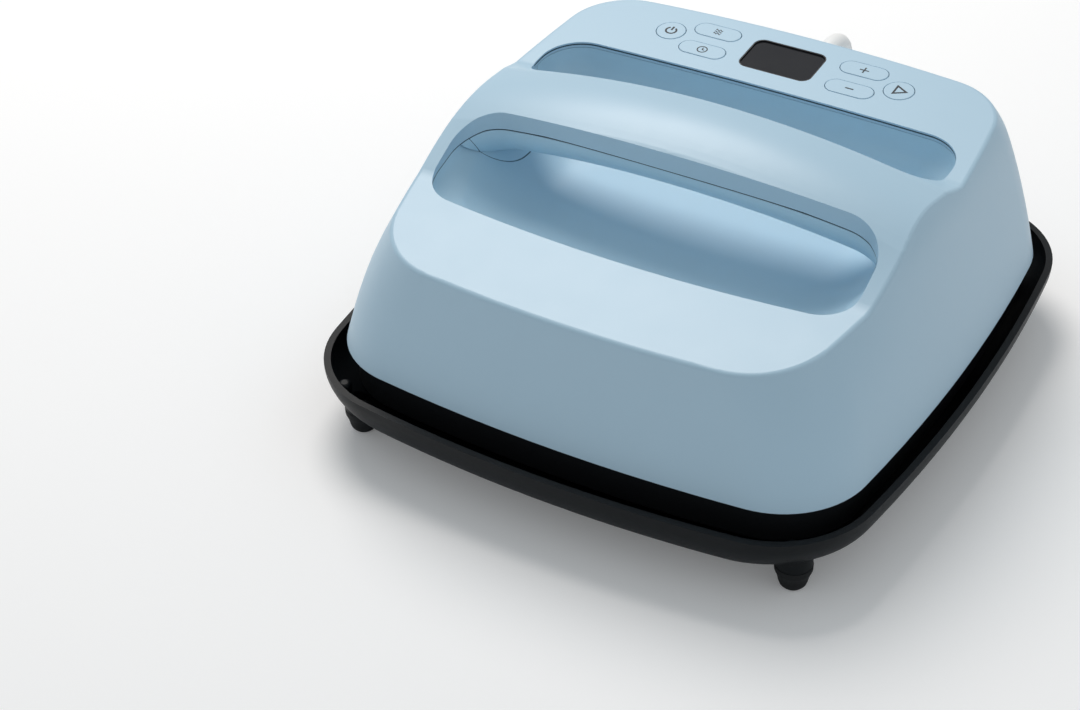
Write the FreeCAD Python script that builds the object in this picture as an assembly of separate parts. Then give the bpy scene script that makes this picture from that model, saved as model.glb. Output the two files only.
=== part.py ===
"""Craft heat press on its insulated base.

Millimetres. +X is right, +Y is back, +Z is up. The origin lies on the floor under
the middle of the base tray. The user stands on the -Y side.
"""
import FreeCAD, Part
import os
from math import atan, cos, degrees, pi, radians, sin, sqrt, tan
from FreeCAD import Vector

# ---------------------------------------------------------------- clearances
SEAM = 0.3              # visible joint between two mouldings
SEAT_GAP = 0.3          # between pieces that lift or slide apart
SLIDE_GAP = 0.35        # round a button cap
SCREW_PLAY = 0.2        # radial play of a screw in its clearance hole
PILOT_PLAY = 0.05       # round a screw's thread in its own post
PILOT_END = 1.0         # left free past a screw's tip
MATCH = 0.01            # two places this close are the same place
ALIGNED = 0.99          # share of a direction that counts as along it
TRIM_MARGIN = 10.0      # that a trimming solid reaches past what it trims
HEAD_ROUND = 0.45       # of a screw head, as a share of its height

# ---------------------------------------------------------------- base tray
TRAY_SIDE_MARGIN = 9.4  # that the tray reaches past the housing
TRAY_END_MARGIN = 16.25
TRAY_SIDE_BOW = 924.0
TRAY_END_BOW = 750.0
TRAY_CORNER = 54.3
TRAY_WALL = 3.5
TRAY_FLOOR = 3.0
TRAY_UNDERSIDE_Z = 10.5
TRAY_RIM_Z = 38.8
TRAY_CURVE = 30.0       # how far the wall curves in towards the floor
FOOT_SIDE_INSET = 35.0  # from the tray's side to a foot's middle
FOOT_END_INSET = 33.65
FOOT_RADIUS = 6.75
FOOT_FLAT_RADIUS = 4.35
FOOT_TOP_RADIUS = 8.0
FOOT_STEM_RADIUS = 2.5
FOOT_HEAD_RADIUS = 4.0
FOOT_HEAD = 1.6
FOOT_SEAT_RIM = 1.0     # how far the boss above a foot stands out round it
PAD_X = 84.0
PAD_Y = 84.0
PAD_RADIUS = 14.0
PAD_HEIGHT = 6.2
PAD_ROUND = 1.2
GUIDE_SIDE_INSET = 32.0
GUIDE_END_INSET = 24.15
GUIDE_RADIUS = 3.5
GUIDE_ROUND = 2.1
GUIDE_TOP_Z = 34.0

# ---------------------------------------------------------------- heater stack
PLATE_SIZE = 229.0
PLATE_CORNER = 14.0
PLATE_THICKNESS = 12.0
PLATE_EDGE = 1.5
PLATE_SCREW_BITE = 7.2
PLATE_HOLE_END = 1.2    # left free past a plate screw's tip
ELEMENT_RADIUS = 3.5
ELEMENT_PITCH = 30.0
ELEMENT_RUNS = 6
ELEMENT_REACH = 78.0
COVER_SIZE = 205.0
COVER_THICKNESS = 1.0
BLANKET_SIZE = 214.0
BLANKET_THICKNESS = 11.0
SHIELD_SIZE = 222.0
SHIELD_THICKNESS = 1.0
SHIELD_SKIRT = 9.0
STANDOFF_X = 94.0
STANDOFF_Y = 94.0
STANDOFF_RADIUS = 6.0
STANDOFF_NECK_RADIUS = 4.0
PLATE_SCREW_RADIUS = 2.0
SCREW_HEAD = 2.6
SCREW_HEAD_RADIUS = 3.6
SENSOR_LENGTH = 22.0
SENSOR_WIDTH = 9.0
SENSOR_HEIGHT = 4.0
SENSOR_Y = 30.0
SENSOR_ROUND = 1.5

# ---------------------------------------------------------------- lower frame
FRAME_INSET = 5.0       # from the housing outline
FRAME_WALL = 2.5
FRAME_LIP = 3.0
FRAME_LIP_RISE = 4.0    # the plate stands this far below the lip
FRAME_PLATE_GAP = 0.8
FRAME_ROUND = 2.0
CHASSIS_Z = 48.0
CHASSIS_THICKNESS = 1.5
CHASSIS_INSET = 6.5
POST_RADIUS = 5.0
POST_SIDE_INSET = 18.6  # from the housing's side to the middle of a post
POST_SIDE_Y = 60.0
POST_END_X = 62.0
POST_END_INSET = 17.9
POST_TOP_Z = 96.0
POST_RIB = 2.0
POST_RIB_REACH = 12.5
HOUSING_SCREW_RADIUS = 1.9
HOUSING_SCREW_BITE = 16.0
HOUSING_SCREW_SEAT = 10.0   # from the chassis down to the head's seat

# ---------------------------------------------------------------- housing
EDGE_Z = 45.8
HOUSING_HALF_WIDTH = 145.6
HOUSING_HALF_DEPTH = 147.9
SIDE_BOW = 980.0
SHELF_SIDE_BOW = 290.0  # of the side walls' front half, at the shelf's height
SIDE_BOW_POWER = 3      # how late the front half of a side starts to bow more
SIDE_BOW_END = 2.0      # heights above the edge, in shelf heights, where that stops
SIDE_BOW_END_POWER = 4
END_BOW = 897.0
BOTTOM_CORNER = 46.3
HOUSING_WALL = 3.0
SIDE_DRAFT = 12.8       # degrees from upright
FRONT_DRAFT = 13.5
REAR_DRAFT = 18.9
REAR_BULGE = 5.0        # how far the rear wall bows out halfway up
FRONT_CORNER_GROWTH = 0.03      # corner radius per millimetre of height
REAR_CORNER_GROWTH = -0.14
HULL_TOP_Z = 154.0      # above the top, where the walls are cut off
HULL_STEPS = 15
FLANK_Z = 118.3         # above this the side walls curve in to the handle's ends
FLANK_RADIUS = 49.5
CREASE_ROUND = 2.5
EDGE_OVERCUT = 1.0      # that the housing's hollow starts below its edge

# The top is one profile seen from the side, drawn as corner points with rounds. The
# handle's part of it sinks towards the handle's two ends.
HANDLE_CAMBER = 480.0   # radius of the handle's top, seen from the front
TOP_STEPS = 6
SHELF_CREASE_Y = -130.0
SHELF_CREASE_Z = 107.5
SHELF_MIDDLE_Y = -95.0
SHELF_MIDDLE_Z = 112.0
SHELF_MIDDLE_ROUND = 200.0
SHELF_END_Y = -66.0
SHELF_END_Z = 115.5
SHELF_END_ROUND = 20.0
CREST_FRONT_Y = -33.0
CREST_FRONT_Z = 145.3
CREST_FRONT_ROUND = 9.0
CROWN_Y = -12.0
CROWN_Z = 152.6
CROWN_ROUND = 70.0
CREST_REAR_Y = 15.0
CREST_REAR_Z = 149.5
CREST_REAR_ROUND = 14.0
PANEL_FRONT_Y = 32.0
PANEL_INSET = 56.4      # from the back of the housing to the panel's middle
PANEL_MIDDLE_Z = 133.7
PANEL_SLOPE = 0.08
PANEL_FRONT_ROUND = 9.0

# Hand well: two openings in the top with the handle between them.
WELL_POST_MARGIN = 11.8 # from the middle of a side post to the end of the well
FRONT_OPENING_NEAR_Y = -84.0
FRONT_OPENING_FAR_Y = -33.0
REAR_OPENING_NEAR_Y = 14.0
REAR_OPENING_MARGIN = 25.5      # from its far edge to the panel's middle
FRONT_OPENING_BOW = 880.0       # radius of its near edge, which follows the housing's front
FRONT_OPENING_ROUND = 20.0
REAR_OPENING_BOW = 2500.0       # radius of its far edge
REAR_OPENING_ROUND = 22.0
WELL_SIDE_BOW = 20000.0
OPENING_WALL = 2.5
HANDLE_SEAM_Z = 137.2
SEAM_SHELF_Y = -62.0
SEAM_SHELF_Z = 113.2
SEAM_HANDLE_Y = -30.0
SEAM_REAR_Y = 24.0
SEAM_HANDLE_ROUND = 5.4
SEAM_PANEL_ROUND = 3.6
WELL_FLOOR_Z = 88.0
WELL_CURVE_RISE = 42.0
WELL_END_CURVE = 42.0
WELL_FRONT_CURVE = 26.0
WELL_REAR_CURVE = 44.0
WELL_WALL = 2.5
BOWL_TURNS = range(0, 91, 18)   # degrees up a quarter ellipse
GRIP_TURNS = range(30, 151, 30)
ROOT_TURNS = range(0, 73, 18)
GRIP_DROP = 19.5        # depth of the handle's lower half
GRIP_WALL = 3.0
GRIP_FLARE_START = 80.0
GRIP_FLARE = 3.0        # how much deeper the handle gets at its roots
LINER_EAR_RADIUS = 5.0
LINER_EAR = 3.0
LINER_POST_RADIUS = 4.0
LINER_FRONT_EAR_Z = 97.0
LINER_REAR_EAR_Z = 116.0
LINER_TAB = 22.0
LINER_FRONT_EAR_X = 70.0
LINER_REAR_EAR_MARGIN = 10.0    # from the rear opening's far edge
LINER_REAR_EAR_X = 97.0
SMALL_SCREW_RADIUS = 1.4
SMALL_HEAD_RADIUS = 2.7
SMALL_HEAD = 1.8
SMALL_SCREW_BITE = 6.0
GRIP_SCREW_SEAT = 7.0   # up from the lowest point of the handle
GRIP_POST = 7.0         # thickness that a handle screw clamps
HANDLE_SCREW_X = 66.0

# ---------------------------------------------------------------- control panel
DISPLAY_WIDTH = 41.0
DISPLAY_DEPTH = 27.0
DISPLAY_ROUND = 5.5
DISPLAY_RECESS = 0.9
WINDOW_FLANGE = 2.0
WINDOW_FLANGE_HEIGHT = 1.2
ROUND_BUTTON = 7.8      # radius
ROUND_BUTTON_X = 65.1
PILL_LENGTH = 26.0
PILL_WIDTH = 11.2
PILL_X = 41.9
PILL_PITCH = 18.1
CAP_PROUD = 0.25
CAP_ROUND = 0.4
CAP_FLANGE = 0.9
CAP_FLANGE_HEIGHT = 1.2
CAP_TRAVEL = 0.8
STEM_RADIUS = 1.8
STEM_LENGTH = 1.5
PLUNGER_RADIUS = 1.5
PLUNGER_LENGTH = 2.2
SWITCH_SIZE = 6.0
SWITCH_HEIGHT = 3.5
BOARD_DEPTH = 10.6      # from the panel's face to the top of the board
BOARD_THICKNESS = 1.6
BOARD_CORNER = 2.0
CASE_CORNER = 1.0       # of a part's moulded case
BOARD_HALF_WIDTH = 82.0
BOARD_HALF_DEPTH = 16.5
BOARD_SCREW_X = 77.0
BOARD_SCREW_Y = 13.0
BOARD_POST_RADIUS = 3.5

# ---------------------------------------------------------------- power board
POWER_BOARD_Z = 58.0
PILLAR_RADIUS = 3.5
PILLAR_INSET = 5.0
POWER_BOARD_HALF_WIDTH = 55.0
POWER_BOARD_FRONT_Y = 76.0
POWER_BOARD_REAR_Y = 122.0
RELAY_LENGTH = 19.0
RELAY_WIDTH = 15.0
RELAY_HEIGHT = 16.0
RELAY_X = 24.0
RELAY_Y = 110.0
TRANSFORMER_SIZE = 24.0
TRANSFORMER_HEIGHT = 18.0
TRANSFORMER_CORE = 0.8          # depth of the core, as a share of the winding's
TRANSFORMER_WINDING = 0.6       # width and height of the winding, as shares of the core's
TRANSFORMER_X = -12.0
TRANSFORMER_Y = 107.0
CAPACITOR_RADIUS = 6.5
CAPACITOR_HEIGHT = 22.0
CAPACITOR_X = 28.0
CAPACITOR_PITCH = 15.0
CAPACITOR_Y = 90.0
SINK_LENGTH = 24.0
SINK_DEPTH = 14.0
SINK_HEIGHT = 26.0
SINK_FIN = 1.6
SINK_BASE = 2.4
SINK_FINS = 6
SINK_X = -40.0
SINK_Y = 111.0
TERMINAL_SIZE = 10.0
TERMINAL_HEIGHT = 12.0
TERMINAL_X = 48.0
MAINS_TERMINAL_LENGTH = 16.0
RIBBON_WIDTH = 16.0
RIBBON_THICKNESS = 0.9
RIBBON_X = -24.0
RIBBON_TOP_INSET = 7.5  # from the panel's middle to the upper connector
RIBBON_LOW_Y = 88.0
RIBBON_BULGE = 14.0
CONNECTOR_HEIGHT = 5.0
CONNECTOR_DEPTH = 5.0
CONNECTOR_ENDS = 4.0    # that a connector is longer than the ribbon is wide
LEAD_RADIUS = 1.6
LEAD_BEND = 5.4
LEAD_SLOT_END = 6.0
LEAD_RUN = 12.0         # from the end of the element to where a lead turns up
LEAD_HOLE_RADIUS = 2.4

# ---------------------------------------------------------------- mains cord
CORD_RADIUS = 3.5
BOOT_X = 4.0
BOOT_Z = 116.0
BOOT_NECK_RADIUS = 5.0
BOOT_INSET = 35.9       # from the back of the housing to the boot's inner end
BOOT_NECK = 18.4
BOOT_NECK_BITE = 1.0
BOOT_REACH = 34.0       # from its inner end to where it starts to bend
BOOT_BEND_RADIUS = 15.0
BOOT_SHARES = (0.0, 0.33, 0.67, 1.0)
BOOT_BEND = 75.0        # degrees, from level towards the floor
BOOT_TAIL = 16.0
BOOT_ROOT_RADIUS = 6.2
BOOT_TIP_RADIUS = 4.3
BOOT_FLANGE_RADIUS = 7.6
BOOT_FLANGE = 2.0
INNER_CORD_RADIUS = 2.4
INNER_CORD_STRAIGHT = 0.5
SOCKET_WALL = 2.2
CORD_ROUTE = ((4.5, 171.0, 61.0), (2.5, 180.5, 36.5), (-0.5, 197.0, 16.5), (-4.5, 218.0, 7.2))
COIL_X = -50.0
COIL_Y = 240.0
COIL_RADIUS = 41.0
COIL_HALF_SPREAD = 14.0
COIL_HEIGHT = 15.0
COIL_EDGE = 5.0
COIL_EXIT_ANGLE = 150.0
PLUG_RUN = 33.0         # straight out of the coil
PLUG_RUN_RISE = 0.4
PLUG_ROUTE = ((-119.0, 210.0), (-145.0, 202.0))
PLUG_LENGTH = 38.0
PLUG_HALF_WIDTH = 13.5
PLUG_HALF_HEIGHT = 10.0
PLUG_NECK_RADIUS = 6.0
PLUG_NECK_SHARES = (0.8, 1.5)   # of it at the cord and inside the plug
PLUG_NECK_BITE = 7.6
PIN_LENGTH = 16.0
PIN_HALF_SPACING = 6.35
PIN_DEPTH = 6.4
PIN_THICKNESS = 1.5
EARTH_PIN_RADIUS = 2.4
EARTH_PIN_LENGTH = 18.0
EARTH_PIN_ROUND = 1.44
EARTH_PIN_DROP = 3.5
PIN_RISE = 3.0


# ---------------------------------------------------------------- places worked out
TRAY_HALF_WIDTH = HOUSING_HALF_WIDTH + TRAY_SIDE_MARGIN
TRAY_HALF_DEPTH = HOUSING_HALF_DEPTH + TRAY_END_MARGIN
FOOT_X = TRAY_HALF_WIDTH - FOOT_SIDE_INSET
FOOT_Y = TRAY_HALF_DEPTH - FOOT_END_INSET
GUIDE_X = TRAY_HALF_WIDTH - GUIDE_SIDE_INSET
GUIDE_Y = TRAY_HALF_DEPTH - GUIDE_END_INSET
POST_SIDE_X = HOUSING_HALF_WIDTH - POST_SIDE_INSET
POST_END_Y = HOUSING_HALF_DEPTH - POST_END_INSET
WELL_HALF_WIDTH = POST_SIDE_X - WELL_POST_MARGIN
PANEL_MIDDLE_Y = HOUSING_HALF_DEPTH - PANEL_INSET
REAR_OPENING_FAR_Y = PANEL_MIDDLE_Y - REAR_OPENING_MARGIN
LINER_REAR_EAR_Y = REAR_OPENING_FAR_Y + LINER_REAR_EAR_MARGIN
RIBBON_TOP_Y = PANEL_MIDDLE_Y - RIBBON_TOP_INSET
LEAD_RISE_Y = ELEMENT_REACH + LEAD_RUN
TERMINAL_Y = LEAD_RISE_Y
BOOT_START_Y = HOUSING_HALF_DEPTH - BOOT_INSET
BOOT_ROOT_Y = BOOT_START_Y + BOOT_NECK
BOOT_BEND_Y = BOOT_START_Y + BOOT_REACH
INNER_CORD_BEND = BOOT_START_Y - BOOT_FLANGE - TERMINAL_Y - INNER_CORD_STRAIGHT
TRAY_FLOOR_Z = TRAY_UNDERSIDE_Z + TRAY_FLOOR
PAD_TOP_Z = TRAY_FLOOR_Z + PAD_HEIGHT
PLATE_Z = PAD_TOP_Z + SEAT_GAP
PLATE_TOP_Z = PLATE_Z + PLATE_THICKNESS
COVER_TOP_Z = PLATE_TOP_Z + COVER_THICKNESS
BLANKET_TOP_Z = COVER_TOP_Z + BLANKET_THICKNESS
SHIELD_TOP_Z = BLANKET_TOP_Z + SHIELD_THICKNESS
FRAME_Z = PLATE_Z + FRAME_LIP_RISE
CHASSIS_TOP_Z = CHASSIS_Z + CHASSIS_THICKNESS
POWER_BOARD_TOP_Z = POWER_BOARD_Z + BOARD_THICKNESS
PANEL_TILT = degrees(atan(PANEL_SLOPE))
X_AXIS = Vector(1, 0, 0)
Y_AXIS = Vector(0, 1, 0)
Z_AXIS = Vector(0, 0, 1)


# ---------------------------------------------------------------- outlines
def corner_points(half_width, half_depth, side_bow, end_bow, radius):
    """Side tangent point, middle and end tangent point of the +X +Y corner arc."""
    side_centre = Vector(half_width - side_bow, 0, 0)
    end_centre = Vector(0, half_depth - end_bow, 0)
    side_reach = side_bow - radius
    end_reach = end_bow - radius
    between = end_centre - side_centre
    gap = between.Length
    along = (side_reach ** 2 - end_reach ** 2 + gap ** 2) / (2 * gap)
    across = sqrt(side_reach ** 2 - along ** 2)
    unit = between / gap
    normal = Vector(-unit.y, unit.x, 0)
    if normal.x + normal.y < 0:
        normal = -normal
    centre = side_centre + unit * along + normal * across
    side_point = side_centre + (centre - side_centre) * (side_bow / side_reach)
    end_point = end_centre + (centre - end_centre) * (end_bow / end_reach)
    outward = (side_point - centre) + (end_point - centre)
    middle = centre + outward * (radius / outward.Length)
    return side_point, middle, end_point


def side_arcs(near, far, half_width, near_bow, far_bow, middle_y, z):
    """Two arcs from a side's near end to its far end that meet smoothly at its middle."""
    middle = Vector(half_width, middle_y, z)
    arcs = []
    for end, bow in ((near, near_bow), (far, far_bow)):
        centre = Vector(half_width - bow, middle_y, z)
        between = (end - centre) + (middle - centre)
        arcs.append((end, centre + between * (bow / between.Length), middle))
    return arcs


def bowed_outline(half_width, front, rear, side_bows, front_bow, rear_bow, front_corner,
                  rear_corner, z, middle_y=0.0):
    """Closed wire of ten arcs: bowed front and rear, two halves a side and round corners.

    side_bows holds the radius of a side's front half and of its rear half.
    """
    near = [Vector(p.x, middle_y - p.y, z) for p in
            corner_points(half_width, front, side_bows[0], front_bow, front_corner)]
    far = [Vector(p.x, middle_y + p.y, z) for p in
           corner_points(half_width, rear, side_bows[1], rear_bow, rear_corner)]
    lower, upper = side_arcs(near[0], far[0], half_width, side_bows[0], side_bows[1],
                             middle_y, z)
    right = [(near[2], near[1], near[0]), lower, tuple(reversed(upper)), tuple(far)]
    left = [tuple(Vector(-p.x, p.y, z) for p in reversed(arc)) for arc in reversed(right)]
    rear_edge = (far[2], Vector(0, middle_y + rear, z), left[0][0])
    front_edge = (left[-1][2], Vector(0, middle_y - front, z), near[2])
    arcs = right + [rear_edge] + left + [front_edge]
    return Part.Wire([Part.Arc(*arc).toShape() for arc in arcs])


def edge_y(x, half_width, edge, bow, corner, inner_side):
    """Where an opening's edge lies at x: an arc through y = edge, then a round corner.

    A positive bow bends the edge towards -Y in its middle. inner_side is +1 when the
    opening lies on the +Y side of the edge.
    """
    turn = 1 if bow > 0 else -1
    centre_y = edge + bow
    corner_x = half_width - corner
    reach = abs(bow) - turn * inner_side * corner
    corner_y = centre_y - turn * sqrt(reach ** 2 - corner_x ** 2)
    if abs(x) * reach <= corner_x * abs(bow):
        return centre_y - turn * sqrt(bow ** 2 - x ** 2)
    return corner_y - inner_side * sqrt(corner ** 2 - (abs(x) - corner_x) ** 2)


def slot_outline(half_width, near_y, far_y, near_bow, far_bow, corner, z, grow=0.0):
    """Closed wire of an opening: two bowed edges, straight ends and four round corners."""
    half = half_width + grow
    radius = corner + grow
    wire_points = []
    for edge, bow, inner_side in ((near_y - grow, near_bow + grow, 1),
                                  (far_y + grow, far_bow - grow, -1)):
        turn = 1 if bow > 0 else -1
        reach = abs(bow) - turn * inner_side * radius
        tangent_x = (half - radius) * abs(bow) / reach
        tangent_y = edge_y(tangent_x, half, edge, bow, radius, inner_side)
        corner_x = half - radius
        corner_y = edge + bow - turn * sqrt(reach ** 2 - corner_x ** 2)
        out = Vector(tangent_x - corner_x, tangent_y - corner_y, 0) + Vector(radius, 0, 0)
        middle = Vector(corner_x, corner_y, 0) + out * (radius / out.Length)
        wire_points.append([Vector(0, edge, z), Vector(tangent_x, tangent_y, z),
                            Vector(middle.x, middle.y, z), Vector(half, corner_y, z)])
    near, far = wire_points
    left_near = [Vector(-p.x, p.y, z) for p in near]
    left_far = [Vector(-p.x, p.y, z) for p in far]
    edges = [Part.Arc(left_near[1], near[0], near[1]), Part.Arc(near[1], near[2], near[3]),
             Part.LineSegment(near[3], far[3]), Part.Arc(far[3], far[2], far[1]),
             Part.Arc(far[1], far[0], left_far[1]), Part.Arc(left_far[1], left_far[2], left_far[3]),
             Part.LineSegment(left_far[3], left_near[3]),
             Part.Arc(left_near[3], left_near[2], left_near[1])]
    return Part.Wire([edge.toShape() for edge in edges])


def upright(wire, height):
    return Part.Face(wire).extrude(Vector(0, 0, height))


def rounded_profile(points, rounds):
    """Edges in the YZ plane through (y, z) corner points, each inner corner rounded."""
    corners = [Vector(0, y, z) for y, z in points]
    edges = []
    start = corners[0]
    for index in range(1, len(corners) - 1):
        corner = corners[index]
        back = (corners[index - 1] - corner).normalize()
        ahead = (corners[index + 1] - corner).normalize()
        half_angle = back.getAngle(ahead) / 2
        reach = rounds[index - 1] / tan(half_angle)
        first = corner + back * reach
        last = corner + ahead * reach
        bisector = (back + ahead).normalize()
        middle = corner + bisector * (rounds[index - 1] / sin(half_angle) - rounds[index - 1])
        edges.append(Part.LineSegment(start, first).toShape())
        edges.append(Part.Arc(first, middle, last).toShape())
        start = last
    edges.append(Part.LineSegment(start, corners[-1]).toShape())
    return edges


def below_profiles(profile, bottom_z, half_width):
    """Solid under a YZ profile that changes along X, down to bottom_z."""
    wires = []
    for step in range(TOP_STEPS + 1):
        x = half_width * (2 * step / TOP_STEPS - 1)
        edges = profile(x)
        first = edges[0].firstVertex().Point
        last = edges[-1].lastVertex().Point
        low_first = Vector(0, first.y, bottom_z)
        low_last = Vector(0, last.y, bottom_z)
        closing = [Part.LineSegment(last, low_last).toShape(),
                   Part.LineSegment(low_last, low_first).toShape(),
                   Part.LineSegment(low_first, first).toShape()]
        wire = Part.Wire(edges + closing)
        wire.translate(Vector(x, 0, 0))
        wires.append(wire)
    return Part.makeLoft(wires, True, False)


# ---------------------------------------------------------------- small helpers
def cylinder(radius, height, x, y, z):
    return Part.makeCylinder(radius, height, Vector(x, y, z))


def block(size_x, size_y, size_z, x, y, z):
    """Box centred on x and y, standing on z."""
    return Part.makeBox(size_x, size_y, size_z, Vector(x - size_x / 2, y - size_y / 2, z))


def rounded_block(size_x, size_y, size_z, corner, z, x=0.0, y=0.0):
    solid = block(size_x, size_y, size_z, x, y, z)
    upright_edges = [edge for edge in solid.Edges
                     if abs(edge.tangentAt(edge.FirstParameter).z) > ALIGNED]
    return solid.makeFillet(corner, upright_edges)


def four_corners(x, y):
    return [(sx * x, sy * y) for sx in (-1, 1) for sy in (-1, 1)]


def fuse(shapes):
    shapes = list(shapes)
    joined = shapes[0]
    if len(shapes) > 1:
        joined = joined.multiFuse(shapes[1:])
    return joined.removeSplitter()


def group(shapes):
    return Part.makeCompound(list(shapes))


def screw(x, y, seat_z, length, radius, head_radius, head, pointing=1):
    """Pan-head screw; pointing is +1 when its tip is above its head."""
    head_z = seat_z - head if pointing > 0 else seat_z
    tip_z = seat_z if pointing > 0 else seat_z - length
    body = cylinder(head_radius, head, x, y, head_z)
    outer = body.Edges[0] if pointing < 0 else body.Edges[2]
    body = body.makeFillet(head * HEAD_ROUND, [outer])
    return fuse([body, cylinder(radius, length, x, y, tip_z)])


def on_panel(shape, x=0.0, y=0.0):
    """Move a shape drawn with the panel's face as z = 0 to its place on the panel."""
    placed = shape.copy()
    placed.translate(Vector(x, y, 0))
    placed.rotate(Vector(0, 0, 0), X_AXIS, PANEL_TILT)
    placed.translate(Vector(0, PANEL_MIDDLE_Y, PANEL_MIDDLE_Z))
    return placed


# ---------------------------------------------------------------- housing forms
def panel_height(y):
    return PANEL_MIDDLE_Z + PANEL_SLOPE * (y - PANEL_MIDDLE_Y)


def camber(x):
    """How far the handle has sunk at x below its middle."""
    return HANDLE_CAMBER - sqrt(HANDLE_CAMBER ** 2 - x ** 2)


def top_profile(x=0.0, drop=0.0):
    """The top seen from the side at x, lowered by drop."""
    shelf_slope = (SHELF_MIDDLE_Z - SHELF_CREASE_Z) / (SHELF_MIDDLE_Y - SHELF_CREASE_Y)
    front_y = -2 * HOUSING_HALF_DEPTH
    rear_y = 2 * HOUSING_HALF_DEPTH
    points = [
        (front_y, SHELF_CREASE_Z + shelf_slope * (front_y - SHELF_CREASE_Y)),
        (SHELF_MIDDLE_Y, SHELF_MIDDLE_Z),
        (SHELF_END_Y, SHELF_END_Z),
        (CREST_FRONT_Y, CREST_FRONT_Z - camber(x)),
        (CROWN_Y, CROWN_Z - camber(x)),
        (CREST_REAR_Y, CREST_REAR_Z - camber(x)),
        (PANEL_FRONT_Y, panel_height(PANEL_FRONT_Y)),
        (rear_y, panel_height(rear_y)),
    ]
    rounds = [SHELF_MIDDLE_ROUND, SHELF_END_ROUND, CREST_FRONT_ROUND, CROWN_ROUND,
              CREST_REAR_ROUND, PANEL_FRONT_ROUND]
    return rounded_profile([(y, z - drop) for y, z in points], rounds)


def parting_profile(x=0.0, gap=0.0):
    """The seam between the housing and what lies in the hand well, seen from the side at x.

    It follows the underside of the top wall, and the handle's camber below the handle.
    """
    shelf_slope = (SHELF_END_Z - SHELF_MIDDLE_Z) / (SHELF_END_Y - SHELF_MIDDLE_Y)
    front_y = -2 * HOUSING_HALF_DEPTH
    rear_y = 2 * HOUSING_HALF_DEPTH
    seam_z = HANDLE_SEAM_Z - camber(x)
    panel_z = panel_height(PANEL_FRONT_Y) - HOUSING_WALL
    points = [
        (front_y, SEAM_SHELF_Z + shelf_slope * (front_y - SEAM_SHELF_Y)),
        (SEAM_SHELF_Y, SEAM_SHELF_Z),
        (SEAM_HANDLE_Y, seam_z),
        (SEAM_REAR_Y, seam_z),
        (PANEL_FRONT_Y, panel_z),
        (rear_y, panel_height(rear_y) - HOUSING_WALL),
    ]
    rounds = [SHELF_END_ROUND, SEAM_HANDLE_ROUND, SEAM_PANEL_ROUND, SEAM_PANEL_ROUND]
    return rounded_profile([(y, z - gap) for y, z in points], rounds)


def flank_centre():
    """Centre of the arc, seen from the front, that carries a side wall over to the handle."""
    draft = radians(SIDE_DRAFT)
    start_x = HOUSING_HALF_WIDTH - tan(draft) * (FLANK_Z - EDGE_Z)
    return start_x - FLANK_RADIUS * cos(draft), FLANK_Z - FLANK_RADIUS * sin(draft)


def hull_half_width(z):
    if z <= FLANK_Z:
        return HOUSING_HALF_WIDTH - tan(radians(SIDE_DRAFT)) * (z - EDGE_Z)
    centre_x, centre_z = flank_centre()
    return centre_x + sqrt(FLANK_RADIUS ** 2 - (z - centre_z) ** 2)


def front_side_bow(z):
    """Radius of the side walls' front half, which bow more the higher they are."""
    share = max(0.0, z - EDGE_Z) / (SHELF_MIDDLE_Z - EDGE_Z)
    share = share / (1 + (share / SIDE_BOW_END) ** SIDE_BOW_END_POWER)
    tighter = (1 / SHELF_SIDE_BOW - 1 / SIDE_BOW) * share ** SIDE_BOW_POWER
    return 1 / (1 / SIDE_BOW + tighter)


def hull_outline(z, inset=0.0):
    """Outline of the housing at height z, moved in by inset."""
    rise = z - EDGE_Z
    share = rise / (PANEL_MIDDLE_Z - EDGE_Z)
    rear = HOUSING_HALF_DEPTH - tan(radians(REAR_DRAFT)) * rise
    return bowed_outline(
        hull_half_width(z) - inset,
        HOUSING_HALF_DEPTH - tan(radians(FRONT_DRAFT)) * rise - inset,
        rear + 4 * REAR_BULGE * share * (1 - share) - inset,
        (front_side_bow(z), SIDE_BOW), END_BOW, END_BOW,
        BOTTOM_CORNER + FRONT_CORNER_GROWTH * rise - inset,
        BOTTOM_CORNER + REAR_CORNER_GROWTH * rise - inset, z)


def hull(inset=0.0, bottom_z=EDGE_Z):
    """The housing's walls as a solid that is not yet cut by the top profile."""
    step = (HULL_TOP_Z - bottom_z) / HULL_STEPS
    return Part.makeLoft([hull_outline(bottom_z + step * index, inset)
                          for index in range(HULL_STEPS + 1)], True, False)


def housing_body(inset=0.0, drop=0.0, bottom_z=EDGE_Z):
    return hull(inset, bottom_z).common(
        below_profiles(lambda x: top_profile(x, drop), bottom_z,
                       HOUSING_HALF_WIDTH + TRIM_MARGIN))


def front_opening(grow=0.0):
    """Upright prism of the opening in front of the handle."""
    far_bow = FRONT_OPENING_BOW - (FRONT_OPENING_FAR_Y - FRONT_OPENING_NEAR_Y)
    outline = slot_outline(WELL_HALF_WIDTH, FRONT_OPENING_NEAR_Y, FRONT_OPENING_FAR_Y,
                           FRONT_OPENING_BOW, far_bow, FRONT_OPENING_ROUND, WELL_FLOOR_Z, grow)
    return upright(outline, CROWN_Z)


def rear_opening(grow=0.0):
    """Upright prism of the opening behind the handle."""
    near_bow = REAR_OPENING_BOW
    outline = slot_outline(WELL_HALF_WIDTH, REAR_OPENING_NEAR_Y, REAR_OPENING_FAR_Y,
                           near_bow, -REAR_OPENING_BOW, REAR_OPENING_ROUND, WELL_FLOOR_Z, grow)
    return upright(outline, CROWN_Z)


def openings(grow=0.0):
    return [front_opening(grow), rear_opening(grow)]


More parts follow.
